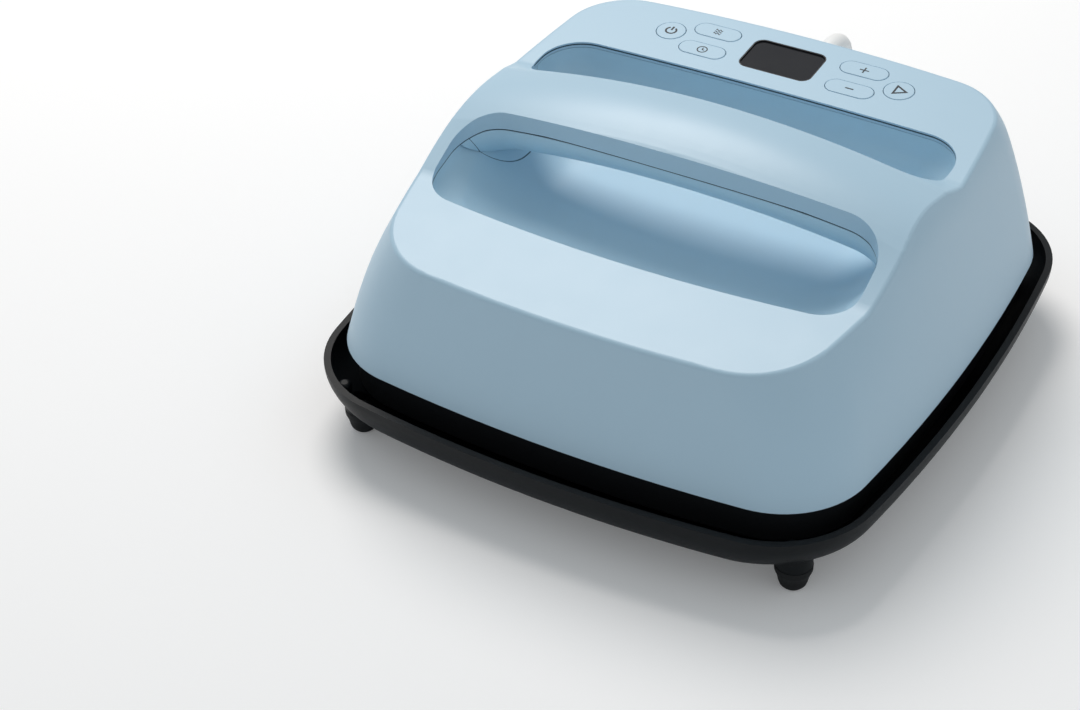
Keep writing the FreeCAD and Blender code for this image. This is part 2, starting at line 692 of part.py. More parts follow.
def bowl(half_width, front_y, rear_y, side_bow, bows, corners, floor_z, rise, top_z, curves,
         grow=0.0):
    """Solid bowl: a flat floor whose walls curve up along quarter ellipses.

    bows and corners hold the front's and the rear's radius, curves how far the walls of
    the two ends, the front and the rear curve in.
    """
    wires = []
    middle_y = (front_y + rear_y) / 2
    half_depth = (rear_y - front_y) / 2
    for turn in BOWL_TURNS:
        inward = 1 - sin(radians(turn))
        z = floor_z - grow + (rise + grow) * (1 - cos(radians(turn)))
        wires.append(bowed_outline(
            half_width + grow - curves[0] * inward,
            half_depth + grow - curves[1] * inward, half_depth + grow - curves[2] * inward,
            (side_bow, side_bow), bows[0], bows[1], corners[0] + grow, corners[1] + grow, z,
            middle_y))
    curved = Part.makeLoft(wires, True, False)
    if top_z <= floor_z + rise:
        return curved
    rim = bowed_outline(half_width + grow, half_depth + grow, half_depth + grow,
                        (side_bow, side_bow), bows[0], bows[1], corners[0] + grow,
                        corners[1] + grow, floor_z + rise, middle_y)
    return curved.fuse(upright(rim, top_z - floor_z - rise))


def well(grow=0.0):
    """The hollow of the hand well, or its outside when grown by the liner's wall."""
    return bowl(WELL_HALF_WIDTH, FRONT_OPENING_NEAR_Y, REAR_OPENING_FAR_Y, WELL_SIDE_BOW,
                (FRONT_OPENING_BOW + grow, REAR_OPENING_BOW + grow),
                (FRONT_OPENING_ROUND, REAR_OPENING_ROUND), WELL_FLOOR_Z, WELL_CURVE_RISE,
                CROWN_Z, (WELL_END_CURVE, WELL_FRONT_CURVE, WELL_REAR_CURVE), grow)


# ---------------------------------------------------------------- places shared by pieces
def standoff_places():
    return four_corners(STANDOFF_X, STANDOFF_Y)


def foot_places():
    return four_corners(FOOT_X, FOOT_Y)


def post_places():
    sides = [(sx * POST_SIDE_X, sy * POST_SIDE_Y) for sx in (-1, 1) for sy in (-1, 1)]
    ends = [(sx * POST_END_X, sy * POST_END_Y) for sx in (-1, 1) for sy in (-1, 1)]
    return sides + ends


def ear_places():
    """Places of the liner's screw ears, each with the height of its underside."""
    front_y = FRONT_OPENING_NEAR_Y - WELL_WALL - LINER_EAR_RADIUS
    front = [(sx * LINER_FRONT_EAR_X, front_y, LINER_FRONT_EAR_Z) for sx in (-1, 1)]
    rear = [(sx * LINER_REAR_EAR_X, LINER_REAR_EAR_Y, LINER_REAR_EAR_Z) for sx in (-1, 1)]
    return front + rear


def handle_screw_places():
    """Places of the handle's screws, each with the height of its head's seat."""
    middle_y = (FRONT_OPENING_FAR_Y + REAR_OPENING_NEAR_Y) / 2
    return [(x, middle_y, HANDLE_SEAM_Z - camber(x) - GRIP_DROP + GRIP_SCREW_SEAT)
            for x in (-HANDLE_SCREW_X, 0.0, HANDLE_SCREW_X)]


def button_places():
    """Name, x, y and whether it is round, on the panel."""
    half_pitch = PILL_PITCH / 2
    return [("power", -ROUND_BUTTON_X, 0.0, True),
            ("temperature", -PILL_X, half_pitch, False),
            ("timer", -PILL_X, -half_pitch, False),
            ("plus", PILL_X, half_pitch, False),
            ("minus", PILL_X, -half_pitch, False),
            ("start", ROUND_BUTTON_X, 0.0, True)]


def button_outline(is_round, height, z, grow=0.0):
    """Solid with a button's outline, drawn on the panel's face."""
    if is_round:
        return cylinder(ROUND_BUTTON + grow, height, 0, 0, z)
    half = PILL_WIDTH / 2 + grow
    reach = PILL_LENGTH / 2 - PILL_WIDTH / 2
    middle = block(2 * reach, 2 * half, height, 0, 0, z)
    return fuse([middle, cylinder(half, height, -reach, 0, z), cylinder(half, height, reach, 0, z)])


# ---------------------------------------------------------------- base tray
def tray_bowl(inset, floor_z, top_z):
    """The tray's outside, or its inside when moved in by its wall."""
    return bowl(TRAY_HALF_WIDTH - inset, inset - TRAY_HALF_DEPTH, TRAY_HALF_DEPTH - inset,
                TRAY_SIDE_BOW - inset, (TRAY_END_BOW - inset, TRAY_END_BOW - inset),
                (TRAY_CORNER - inset, TRAY_CORNER - inset), floor_z, TRAY_RIM_Z - floor_z,
                top_z, (TRAY_CURVE, TRAY_CURVE, TRAY_CURVE))


def base_tray():
    outside = tray_bowl(0.0, TRAY_UNDERSIDE_Z, TRAY_RIM_Z)
    outside = outside.cut(block(2 * TRAY_HALF_WIDTH, 2 * TRAY_HALF_DEPTH, TRAY_FLOOR, 0, 0,
                                TRAY_UNDERSIDE_Z - TRAY_FLOOR))
    inside = tray_bowl(TRAY_WALL, TRAY_FLOOR_Z, TRAY_RIM_Z + TRAY_WALL)
    seats = [cylinder(FOOT_TOP_RADIUS + FOOT_SEAT_RIM, TRAY_RIM_Z - TRAY_UNDERSIDE_Z, x, y,
                      TRAY_UNDERSIDE_Z) for x, y in foot_places()]
    guides = []
    for x, y in four_corners(GUIDE_X, GUIDE_Y):
        post = cylinder(GUIDE_RADIUS, GUIDE_TOP_Z - TRAY_UNDERSIDE_Z, x, y, TRAY_UNDERSIDE_Z)
        post = post.makeFillet(GUIDE_ROUND, [post.Edges[0]])
        guides.append(post.common(outside))
    tray = fuse([outside.cut(inside)] + [seat.cut(inside) for seat in seats] + guides)
    holes = []
    for x, y in foot_places():
        holes.append(cylinder(FOOT_STEM_RADIUS + SCREW_PLAY, TRAY_RIM_Z, x, y, 0))
        holes.append(cylinder(FOOT_HEAD_RADIUS + SCREW_PLAY, TRAY_RIM_Z, x, y, TRAY_FLOOR_Z))
    return tray.cut(group(holes))


def base_feet():
    bottom_corner = FOOT_RADIUS - FOOT_FLAT_RADIUS
    flare = FOOT_TOP_RADIUS - FOOT_RADIUS
    head_z = TRAY_FLOOR_Z + SCREW_PLAY
    slope = sin(radians(45))
    points = [
        Vector(0, 0, 0), Vector(FOOT_FLAT_RADIUS, 0, 0),
        Vector(FOOT_RADIUS, 0, bottom_corner), Vector(FOOT_RADIUS, 0, TRAY_UNDERSIDE_Z - 2 * flare),
        Vector(FOOT_TOP_RADIUS, 0, TRAY_UNDERSIDE_Z), Vector(FOOT_STEM_RADIUS, 0, TRAY_UNDERSIDE_Z),
        Vector(FOOT_STEM_RADIUS, 0, head_z), Vector(FOOT_HEAD_RADIUS, 0, head_z),
        Vector(FOOT_STEM_RADIUS, 0, head_z + FOOT_HEAD), Vector(0, 0, head_z + FOOT_HEAD),
    ]
    round_middle = Vector(FOOT_FLAT_RADIUS + bottom_corner * slope, 0, bottom_corner * (1 - slope))
    edges = []
    for index, point in enumerate(points):
        following = points[(index + 1) % len(points)]
        if index == 1:
            edges.append(Part.Arc(point, round_middle, following).toShape())
        else:
            edges.append(Part.LineSegment(point, following).toShape())
    foot = Part.Face(Part.Wire(edges)).revolve(Vector(0, 0, 0), Z_AXIS, 360)
    return group([foot.translated(Vector(x, y, 0)) for x, y in foot_places()])


def base_pads():
    pads = []
    for x, y in four_corners(PAD_X, PAD_Y):
        pad = cylinder(PAD_RADIUS, PAD_HEIGHT, x, y, TRAY_FLOOR_Z)
        pads.append(pad.makeFillet(PAD_ROUND, [pad.Edges[0]]))
    return group(pads)


# ---------------------------------------------------------------- heater stack
def element_end_x():
    """Half the distance between the element's two ends, which both point back."""
    return ELEMENT_PITCH * (ELEMENT_RUNS - 1) / 2


def lead_places():
    return [(-element_end_x(), LEAD_RISE_Y), (element_end_x(), LEAD_RISE_Y)]


def element_path(z):
    """Serpentine centre line of the heating element."""
    edges = []
    half_pitch = ELEMENT_PITCH / 2
    for run in range(ELEMENT_RUNS):
        x = run * ELEMENT_PITCH - element_end_x()
        ahead = -1 if run % 2 == 0 else 1
        low = Vector(x, -ahead * ELEMENT_REACH, z)
        high = Vector(x, ahead * ELEMENT_REACH, z)
        edges.append(Part.LineSegment(low, high).toShape())
        if run < ELEMENT_RUNS - 1:
            turn = Vector(x + half_pitch, ahead * (ELEMENT_REACH + half_pitch), z)
            across = Vector(x + ELEMENT_PITCH, ahead * ELEMENT_REACH, z)
            edges.append(Part.Arc(high, turn, across).toShape())
    return Part.Wire(edges)


def element_sweep(radius, open_top):
    """The element itself, or the groove that it lies in when open_top is true."""
    z = PLATE_TOP_Z - ELEMENT_RADIUS
    path = element_path(z)
    start = path.Edges[0].firstVertex().Point
    left = Vector(start.x - radius, start.y, z)
    right = Vector(start.x + radius, start.y, z)
    bottom = Vector(start.x, start.y, z - radius)
    if open_top:
        rise = Vector(0, 0, 2 * ELEMENT_RADIUS)
        edges = [Part.Arc(left, bottom, right).toShape(),
                 Part.LineSegment(right, right + rise).toShape(),
                 Part.LineSegment(right + rise, left + rise).toShape(),
                 Part.LineSegment(left + rise, left).toShape()]
    else:
        edges = [Part.Circle(start, Y_AXIS, radius).toShape()]
    return path.makePipeShell([Part.Wire(edges)], True, False)


def heat_plate():
    plate = rounded_block(PLATE_SIZE, PLATE_SIZE, PLATE_THICKNESS, PLATE_CORNER, PLATE_Z)
    low_edges = [edge for edge in plate.Edges
                 if abs(edge.CenterOfMass.z - PLATE_Z) < MATCH]
    plate = plate.makeFillet(PLATE_EDGE, low_edges)
    plate = plate.cut(element_sweep(ELEMENT_RADIUS + SEAM / 3, True))
    depth = PLATE_SCREW_BITE + PLATE_HOLE_END
    holes = [cylinder(PLATE_SCREW_RADIUS + SCREW_PLAY / 2, depth, x, y, PLATE_TOP_Z - depth)
             for x, y in standoff_places()]
    for x, y in lead_places():
        slot = y + LEAD_SLOT_END - ELEMENT_REACH
        holes.append(block(2 * LEAD_HOLE_RADIUS, slot, 2 * ELEMENT_RADIUS, x,
                           ELEMENT_REACH + slot / 2, PLATE_TOP_Z - 2 * ELEMENT_RADIUS))
    return plate.cut(group(holes))


def heating_element():
    return element_sweep(ELEMENT_RADIUS, False)


def sheet_with_holes(size, thickness, z, radius):
    sheet = rounded_block(size, size, thickness, PLATE_CORNER, z)
    holes = [cylinder(radius, thickness, x, y, z) for x, y in standoff_places()]
    holes += [cylinder(LEAD_HOLE_RADIUS, thickness, x, y, z) for x, y in lead_places()]
    return sheet.cut(group(holes))


def heater_cover():
    return sheet_with_holes(COVER_SIZE, COVER_THICKNESS, PLATE_TOP_Z,
                            STANDOFF_RADIUS + SCREW_PLAY)


def sensor_pocket(y, grow):
    return block(SENSOR_LENGTH + 2 * grow, SENSOR_WIDTH + 2 * grow, SENSOR_HEIGHT + grow,
                 0, y, COVER_TOP_Z)


def insulation_blanket():
    blanket = sheet_with_holes(BLANKET_SIZE, BLANKET_THICKNESS, COVER_TOP_Z,
                               STANDOFF_RADIUS + SCREW_PLAY)
    return blanket.cut(group([sensor_pocket(y, SEAM) for y in (-SENSOR_Y, SENSOR_Y)]))


def sensor(y):
    body = sensor_pocket(y, 0.0)
    long_edges = [edge for edge in body.Edges
                  if abs(edge.tangentAt(edge.FirstParameter).x) > ALIGNED
                  and edge.CenterOfMass.z > COVER_TOP_Z + SENSOR_HEIGHT / 2]
    return body.makeFillet(SENSOR_ROUND, long_edges)


def heat_shield():
    top = rounded_block(SHIELD_SIZE, SHIELD_SIZE, SHIELD_SKIRT, PLATE_CORNER,
                        SHIELD_TOP_Z - SHIELD_SKIRT)
    hollow = rounded_block(SHIELD_SIZE - 2 * SHIELD_THICKNESS, SHIELD_SIZE - 2 * SHIELD_THICKNESS,
                           SHIELD_SKIRT - SHIELD_THICKNESS, PLATE_CORNER - SHIELD_THICKNESS,
                           SHIELD_TOP_Z - SHIELD_SKIRT)
    holes = [cylinder(STANDOFF_NECK_RADIUS + SCREW_PLAY, SHIELD_SKIRT, x, y,
                      SHIELD_TOP_Z - SHIELD_SKIRT) for x, y in standoff_places()]
    holes += [cylinder(LEAD_HOLE_RADIUS, SHIELD_SKIRT, x, y, SHIELD_TOP_Z - SHIELD_SKIRT)
              for x, y in lead_places()]
    return top.cut(hollow).cut(group(holes))


def plate_standoffs():
    spacers = []
    for x, y in standoff_places():
        wide = cylinder(STANDOFF_RADIUS, BLANKET_TOP_Z - PLATE_TOP_Z, x, y, PLATE_TOP_Z)
        neck = cylinder(STANDOFF_NECK_RADIUS, CHASSIS_Z - BLANKET_TOP_Z, x, y, BLANKET_TOP_Z)
        bore = cylinder(PLATE_SCREW_RADIUS + SCREW_PLAY, CHASSIS_Z - PLATE_TOP_Z, x, y, PLATE_TOP_Z)
        spacers.append(fuse([wide, neck]).cut(bore))
    return group(spacers)


def plate_screws():
    length = CHASSIS_TOP_Z - PLATE_TOP_Z + PLATE_SCREW_BITE
    return group([screw(x, y, CHASSIS_TOP_Z, length, PLATE_SCREW_RADIUS, SCREW_HEAD_RADIUS,
                        SCREW_HEAD, -1) for x, y in standoff_places()])


# ---------------------------------------------------------------- lower frame and chassis
def frame_outline(z, inset):
    return bowed_outline(HOUSING_HALF_WIDTH - inset, HOUSING_HALF_DEPTH - inset,
                         HOUSING_HALF_DEPTH - inset, (SIDE_BOW, SIDE_BOW), END_BOW, END_BOW,
                         BOTTOM_CORNER - inset, BOTTOM_CORNER - inset, z)


def lower_frame():
    height = CHASSIS_Z - FRAME_Z
    outside = upright(frame_outline(FRAME_Z, FRAME_INSET), height)
    low_edges = [edge for edge in outside.Edges if abs(edge.CenterOfMass.z - FRAME_Z) < MATCH]
    outside = outside.makeFillet(FRAME_ROUND, low_edges)
    inside = upright(frame_outline(FRAME_Z + FRAME_LIP, FRAME_INSET + FRAME_WALL), height)
    window_size = PLATE_SIZE + 2 * FRAME_PLATE_GAP
    window = rounded_block(window_size, window_size, height, PLATE_CORNER + FRAME_PLATE_GAP,
                           FRAME_Z)
    posts = [cylinder(POST_RADIUS, height - FRAME_LIP, x, y, FRAME_Z + FRAME_LIP)
             for x, y in post_places()]
    frame = fuse([outside.cut(inside).cut(window)] + posts)
    seat_z = CHASSIS_Z - HOUSING_SCREW_SEAT
    holes = []
    for x, y in post_places():
        holes.append(cylinder(HOUSING_SCREW_RADIUS + SCREW_PLAY, height, x, y, FRAME_Z))
        holes.append(cylinder(SCREW_HEAD_RADIUS + SCREW_PLAY, seat_z - FRAME_Z, x, y, FRAME_Z))
    return frame.cut(group(holes))


def chassis_plate():
    plate = upright(frame_outline(CHASSIS_Z, CHASSIS_INSET), CHASSIS_THICKNESS)
    holes = [cylinder(HOUSING_SCREW_RADIUS + SCREW_PLAY, CHASSIS_THICKNESS, x, y, CHASSIS_Z)
             for x, y in post_places()]
    holes += [cylinder(PLATE_SCREW_RADIUS + SCREW_PLAY, CHASSIS_THICKNESS, x, y, CHASSIS_Z)
              for x, y in standoff_places()]
    holes += [cylinder(LEAD_HOLE_RADIUS, CHASSIS_THICKNESS, x, y, CHASSIS_Z)
              for x, y in lead_places()]
    return plate.cut(group(holes))


def housing_screws():
    seat_z = CHASSIS_Z - HOUSING_SCREW_SEAT
    length = HOUSING_SCREW_SEAT + CHASSIS_THICKNESS + HOUSING_SCREW_BITE
    return group([screw(x, y, seat_z, length, HOUSING_SCREW_RADIUS, SCREW_HEAD_RADIUS, SCREW_HEAD)
                  for x, y in post_places()])


# ---------------------------------------------------------------- top housing
def crease_edges(body):
    """Edges where the walls of the housing meet its top."""
    edges = []
    for edge in body.Edges:
        middle = edge.valueAt((edge.FirstParameter + edge.LastParameter) / 2)
        profile = Part.Wire(top_profile(middle.x))
        flat = Part.Vertex(Vector(0, middle.y, middle.z))
        if flat.distToShape(profile)[0] > SEAM:
            continue
        if hull_outline(middle.z).distToShape(Part.Vertex(middle))[0] < SEAM:
            edges.append(edge)
    return edges


def housing_posts():
    posts = []
    for x, y in post_places():
        posts.append(cylinder(POST_RADIUS, POST_TOP_Z - CHASSIS_TOP_Z, x, y, CHASSIS_TOP_Z))
        outward = Vector(x, 0, 0) if abs(x) > abs(y) else Vector(0, y, 0)
        outward.normalize()
        middle = Vector(x, y, 0) + outward * POST_RIB_REACH / 2
        size_x = POST_RIB_REACH if abs(outward.x) > ALIGNED else POST_RIB
        size_y = POST_RIB_REACH if abs(outward.y) > ALIGNED else POST_RIB
        posts.append(block(size_x, size_y, POST_TOP_Z - CHASSIS_TOP_Z - 2 * POST_RIB,
                           middle.x, middle.y, CHASSIS_TOP_Z + 2 * POST_RIB))
    return posts


def opening_walls(body):
    """The walls that run down from the two openings to the seam."""
    below_seam = below_profiles(parting_profile, 0.0, HOUSING_HALF_WIDTH)
    return [ring.common(body).cut(below_seam) for ring in openings(OPENING_WALL)]


def liner_posts():
    posts = []
    for x, y, ear_z in ear_places():
        low_z = ear_z + LINER_EAR
        posts.append(cylinder(LINER_POST_RADIUS, PANEL_MIDDLE_Z - low_z, x, y, low_z))
    return posts


def board_posts():
    return [on_panel(cylinder(BOARD_POST_RADIUS, BOARD_DEPTH - HOUSING_WALL / 2, x, y,
                              -BOARD_DEPTH))
            for x, y in four_corners(BOARD_SCREW_X, BOARD_SCREW_Y)]


def handle_posts():
    return [cylinder(BOARD_POST_RADIUS, CROWN_Z - seat_z - GRIP_POST, x, y, seat_z + GRIP_POST)
            for x, y, seat_z in handle_screw_places()]


def boot_socket():
    reach = BOOT_BEND_Y - BOOT_START_Y
    radius = BOOT_NECK_RADIUS + SCREW_PLAY + SOCKET_WALL
    return Part.makeCylinder(radius, reach, Vector(BOOT_X, BOOT_START_Y, BOOT_Z), Y_AXIS)


def panel_cutouts():
    depth = 4 * HOUSING_WALL
    cuts = [rounded_block(DISPLAY_WIDTH, DISPLAY_DEPTH, depth, DISPLAY_ROUND, -depth / 2)]
    cuts = [on_panel(cut) for cut in cuts]
    for _name, x, y, is_round in button_places():
        cuts.append(on_panel(button_outline(is_round, depth, -depth / 2, SLIDE_GAP), x, y))
    return cuts


def top_housing():
    body = housing_body()
    body = body.makeFillet(CREASE_ROUND, crease_edges(body))
    inner = housing_body(HOUSING_WALL, HOUSING_WALL, EDGE_Z - EDGE_OVERCUT)
    shell = body.cut(inner)
    inside_pieces = fuse(housing_posts() + liner_posts() + board_posts() + handle_posts()
                         + [boot_socket()]).common(body)
    shell = fuse([shell] + opening_walls(body) + [inside_pieces])
    cuts = openings() + panel_cutouts()
    cuts += [cylinder(HOUSING_SCREW_RADIUS + PILOT_PLAY, HOUSING_SCREW_BITE + PILOT_END, x, y,
                      CHASSIS_TOP_Z) for x, y in post_places()]
    pilot = SMALL_SCREW_RADIUS + PILOT_PLAY
    cuts += [cylinder(pilot, SMALL_SCREW_BITE + PILOT_END, x, y, ear_z + LINER_EAR)
             for x, y, ear_z in ear_places()]
    cuts += [cylinder(pilot, SMALL_SCREW_BITE + PILOT_END, x, y, seat_z + GRIP_POST)
             for x, y, seat_z in handle_screw_places()]
    cuts += [on_panel(cylinder(pilot, SMALL_SCREW_BITE + PILOT_END, x, y, -BOARD_DEPTH))
             for x, y in four_corners(BOARD_SCREW_X, BOARD_SCREW_Y)]
    cuts.append(Part.makeCylinder(BOOT_NECK_RADIUS + SCREW_PLAY, HOUSING_HALF_DEPTH,
                                  Vector(BOOT_X, BOOT_START_Y, BOOT_Z), Y_AXIS))
    return shell.cut(group(cuts))


# ---------------------------------------------------------------- liner and handle
def well_liner():
    shell = well(WELL_WALL).cut(well())
    tabs = []
    for x, y, ear_z in ear_places():
        towards = 1 if y < 0 else -1
        tab = block(2 * LINER_EAR_RADIUS, LINER_TAB, LINER_EAR, x, y + towards * LINER_TAB / 2,
                    ear_z)
        ear = cylinder(LINER_EAR_RADIUS, LINER_EAR, x, y, ear_z)
        tabs.append(fuse([tab, ear]).cut(well(WELL_WALL / 2)))
    liner = fuse([shell] + tabs)
    liner = liner.common(below_profiles(lambda x: parting_profile(x, SEAM), 0.0,
                                        HOUSING_HALF_WIDTH))
    holes = [cylinder(SMALL_SCREW_RADIUS + SCREW_PLAY, LINER_EAR, x, y, ear_z)
             for x, y, ear_z in ear_places()]
    return liner.cut(group(holes))


def grip_section(x, inset):
    """Half ellipse of the handle's lower half at x, closed by a line on the seam."""
    near_bow = FRONT_OPENING_BOW - (FRONT_OPENING_FAR_Y - FRONT_OPENING_NEAR_Y)
    near_y = inset + edge_y(x, WELL_HALF_WIDTH, FRONT_OPENING_FAR_Y, near_bow,
                            FRONT_OPENING_ROUND, -1)
    far_y = edge_y(x, WELL_HALF_WIDTH, REAR_OPENING_NEAR_Y, REAR_OPENING_BOW,
                   REAR_OPENING_ROUND, 1) - inset
    flare = max(0.0, (abs(x) - GRIP_FLARE_START) / (WELL_HALF_WIDTH - GRIP_FLARE_START))
    drop = GRIP_DROP + GRIP_FLARE * flare ** 2 - inset
    middle_y = (near_y + far_y) / 2
    half = (far_y - near_y) / 2
    seam_z = HANDLE_SEAM_Z - camber(x)
    near = Vector(x, near_y, seam_z)
    far = Vector(x, far_y, seam_z)
    steps = [radians(turn) for turn in GRIP_TURNS]
    between = [Vector(x, middle_y - half * cos(turn), seam_z - drop * sin(turn))
               for turn in steps]
    curve = Part.BSplineCurve()
    curve.interpolate(Points=[near] + between + [far], InitialTangent=Vector(0, 0, -1),
                      FinalTangent=Vector(0, 0, 1))
    return Part.Wire([curve.toShape(), Part.LineSegment(far, near).toShape()])


def grip_form(inset):
    """The handle's lower half as a solid: a bar and two flared roots."""
    reach = WELL_HALF_WIDTH - inset / 2
    bar_end = WELL_HALF_WIDTH - REAR_OPENING_ROUND
    bar = Part.makeLoft([grip_section(bar_end * share, inset)
                         for share in (-1.0, -0.5, 0.0, 0.5, 1.0)], True, False)
    roots = []
    for side in (-1, 1):
        sections = [grip_section(side * (bar_end + (reach - bar_end) * sin(radians(turn))), inset)
                    for turn in ROOT_TURNS]
        roots.append(Part.makeLoft(sections, True, False))
    return fuse([bar] + roots)


def handle_lower():
    grip = grip_form(0.0).cut(grip_form(GRIP_WALL))
    posts = [cylinder(LINER_EAR_RADIUS, GRIP_POST + GRIP_SCREW_SEAT, x, y,
                      seat_z - GRIP_SCREW_SEAT) for x, y, seat_z in handle_screw_places()]
    posts = group(posts).common(grip_form(0.0))
    grip = fuse([grip] + posts.Solids)
    holes = []
    for x, y, seat_z in handle_screw_places():
        holes.append(cylinder(SMALL_HEAD_RADIUS + SCREW_PLAY, 2 * GRIP_SCREW_SEAT, x, y,
                              seat_z - 2 * GRIP_SCREW_SEAT))
        holes.append(cylinder(SMALL_SCREW_RADIUS + SCREW_PLAY, GRIP_DROP, x, y, seat_z))
    grip = grip.cut(group(holes)).common(well(-SEAM))
    return grip.common(below_profiles(lambda x: parting_profile(x, SEAM), 0.0, HOUSING_HALF_WIDTH))


# ---------------------------------------------------------------- buttons and display
def button_cap(x, y, is_round):
    skin = HOUSING_WALL + SEAM
    cap = button_outline(is_round, skin + CAP_PROUD, -skin)
    cap = cap.makeFillet(CAP_ROUND, [edge for edge in cap.Edges
                                     if abs(edge.CenterOfMass.z - CAP_PROUD) < MATCH])
    flange = button_outline(is_round, CAP_FLANGE_HEIGHT, -skin - CAP_FLANGE_HEIGHT, CAP_FLANGE)
    stem = cylinder(STEM_RADIUS, STEM_LENGTH, 0, 0, -skin - CAP_FLANGE_HEIGHT - STEM_LENGTH)
    return on_panel(fuse([cap, flange, stem]), x, y)


def plunger(x, y):
    top = -HOUSING_WALL - SEAM - CAP_FLANGE_HEIGHT - STEM_LENGTH
    return on_panel(cylinder(PLUNGER_RADIUS, PLUNGER_LENGTH, 0, 0, top - PLUNGER_LENGTH), x, y)


def tact_switches():
    switches = []
    for _name, x, y, _is_round in button_places():
        case = block(SWITCH_SIZE, SWITCH_SIZE, SWITCH_HEIGHT, 0, 0, -BOARD_DEPTH)
        bore = cylinder(PLUNGER_RADIUS + SCREW_PLAY, SWITCH_HEIGHT - BOARD_THICKNESS / 2, 0, 0,
                        -BOARD_DEPTH + BOARD_THICKNESS / 2)
        switches.append(on_panel(case.cut(bore), x, y))
    return group(switches)


def display_window():
    lens = rounded_block(DISPLAY_WIDTH - SLIDE_GAP, DISPLAY_DEPTH - SLIDE_GAP,
                         HOUSING_WALL - DISPLAY_RECESS, DISPLAY_ROUND, -HOUSING_WALL)
    flange = rounded_block(DISPLAY_WIDTH + 2 * WINDOW_FLANGE, DISPLAY_DEPTH + 2 * WINDOW_FLANGE,
                           WINDOW_FLANGE_HEIGHT, DISPLAY_ROUND,
                           -HOUSING_WALL - WINDOW_FLANGE_HEIGHT)
    return on_panel(fuse([lens, flange]))


def display_module():
    low = BOARD_DEPTH
    high = HOUSING_WALL + WINDOW_FLANGE_HEIGHT
    return on_panel(rounded_block(DISPLAY_WIDTH + WINDOW_FLANGE, DISPLAY_DEPTH + WINDOW_FLANGE,
                                  low - high, DISPLAY_ROUND / 2, -low))


def control_board():
    board = rounded_block(2 * BOARD_HALF_WIDTH, 2 * BOARD_HALF_DEPTH, BOARD_THICKNESS,
                          BOARD_CORNER, -BOARD_DEPTH - BOARD_THICKNESS)
    holes = [cylinder(SMALL_SCREW_RADIUS + SCREW_PLAY, BOARD_THICKNESS, x, y,
                      -BOARD_DEPTH - BOARD_THICKNESS)
             for x, y in four_corners(BOARD_SCREW_X, BOARD_SCREW_Y)]
    return on_panel(board.cut(group(holes)))


def board_screws():
    low = -BOARD_DEPTH - BOARD_THICKNESS
    return group([on_panel(screw(x, y, low, BOARD_THICKNESS + SMALL_SCREW_BITE,
                                 SMALL_SCREW_RADIUS, SMALL_HEAD_RADIUS, SMALL_HEAD))
                  for x, y in four_corners(BOARD_SCREW_X, BOARD_SCREW_Y)])


def liner_screws():
    return group([screw(x, y, ear_z, LINER_EAR + SMALL_SCREW_BITE, SMALL_SCREW_RADIUS,
                        SMALL_HEAD_RADIUS, SMALL_HEAD) for x, y, ear_z in ear_places()])


def handle_screws():
    return group([screw(x, y, seat_z, GRIP_POST + SMALL_SCREW_BITE, SMALL_SCREW_RADIUS,
                        SMALL_HEAD_RADIUS, SMALL_HEAD) for x, y, seat_z in handle_screw_places()])


# ---------------------------------------------------------------- power board
def pillar_places():
    inner_x = POWER_BOARD_HALF_WIDTH - PILLAR_INSET
    near_y = POWER_BOARD_FRONT_Y + PILLAR_INSET
    far_y = POWER_BOARD_REAR_Y - PILLAR_INSET
    return [(sx * inner_x, y) for sx in (-1, 1) for y in (near_y, far_y)]


def power_board():
    middle_y = (POWER_BOARD_FRONT_Y + POWER_BOARD_REAR_Y) / 2
    return rounded_block(2 * POWER_BOARD_HALF_WIDTH, POWER_BOARD_REAR_Y - POWER_BOARD_FRONT_Y,
                         BOARD_THICKNESS, BOARD_CORNER, POWER_BOARD_Z, 0.0, middle_y)


def board_pillars():
    height = POWER_BOARD_Z - CHASSIS_TOP_Z
    return group([cylinder(PILLAR_RADIUS, height, x, y, CHASSIS_TOP_Z)
                  for x, y in pillar_places()])


def relay():
    return rounded_block(RELAY_LENGTH, RELAY_WIDTH, RELAY_HEIGHT, CASE_CORNER,
                         POWER_BOARD_TOP_Z, RELAY_X, RELAY_Y)


def transformer():
    core = rounded_block(TRANSFORMER_SIZE, TRANSFORMER_SIZE * TRANSFORMER_CORE,
                         TRANSFORMER_HEIGHT, CASE_CORNER, POWER_BOARD_TOP_Z, TRANSFORMER_X,
                         TRANSFORMER_Y)
    winding_height = TRANSFORMER_HEIGHT * TRANSFORMER_WINDING
    winding_z = POWER_BOARD_TOP_Z + (TRANSFORMER_HEIGHT - winding_height) / 2
    winding = rounded_block(TRANSFORMER_SIZE * TRANSFORMER_WINDING, TRANSFORMER_SIZE,
                            winding_height, 2 * CASE_CORNER, winding_z, TRANSFORMER_X,
                            TRANSFORMER_Y)
    return fuse([core, winding])


def capacitors():
    cans = []
    for shift in (-0.5, 0.5):
        can = cylinder(CAPACITOR_RADIUS, CAPACITOR_HEIGHT, CAPACITOR_X + shift * CAPACITOR_PITCH,
                       CAPACITOR_Y, POWER_BOARD_TOP_Z)
        cans.append(can.makeFillet(CASE_CORNER, [can.Edges[0]]))
    return group(cans)


def heat_sink():
    base = block(SINK_LENGTH, SINK_BASE, SINK_HEIGHT, SINK_X, SINK_Y - SINK_DEPTH / 2,
                 POWER_BOARD_TOP_Z)
    pitch = (SINK_LENGTH - SINK_FIN) / (SINK_FINS - 1)
    first_x = SINK_X - (SINK_LENGTH - SINK_FIN) / 2
    fins = [block(SINK_FIN, SINK_DEPTH, SINK_HEIGHT, first_x + index * pitch, SINK_Y,
                  POWER_BOARD_TOP_Z) for index in range(SINK_FINS)]
    return fuse([base] + fins)


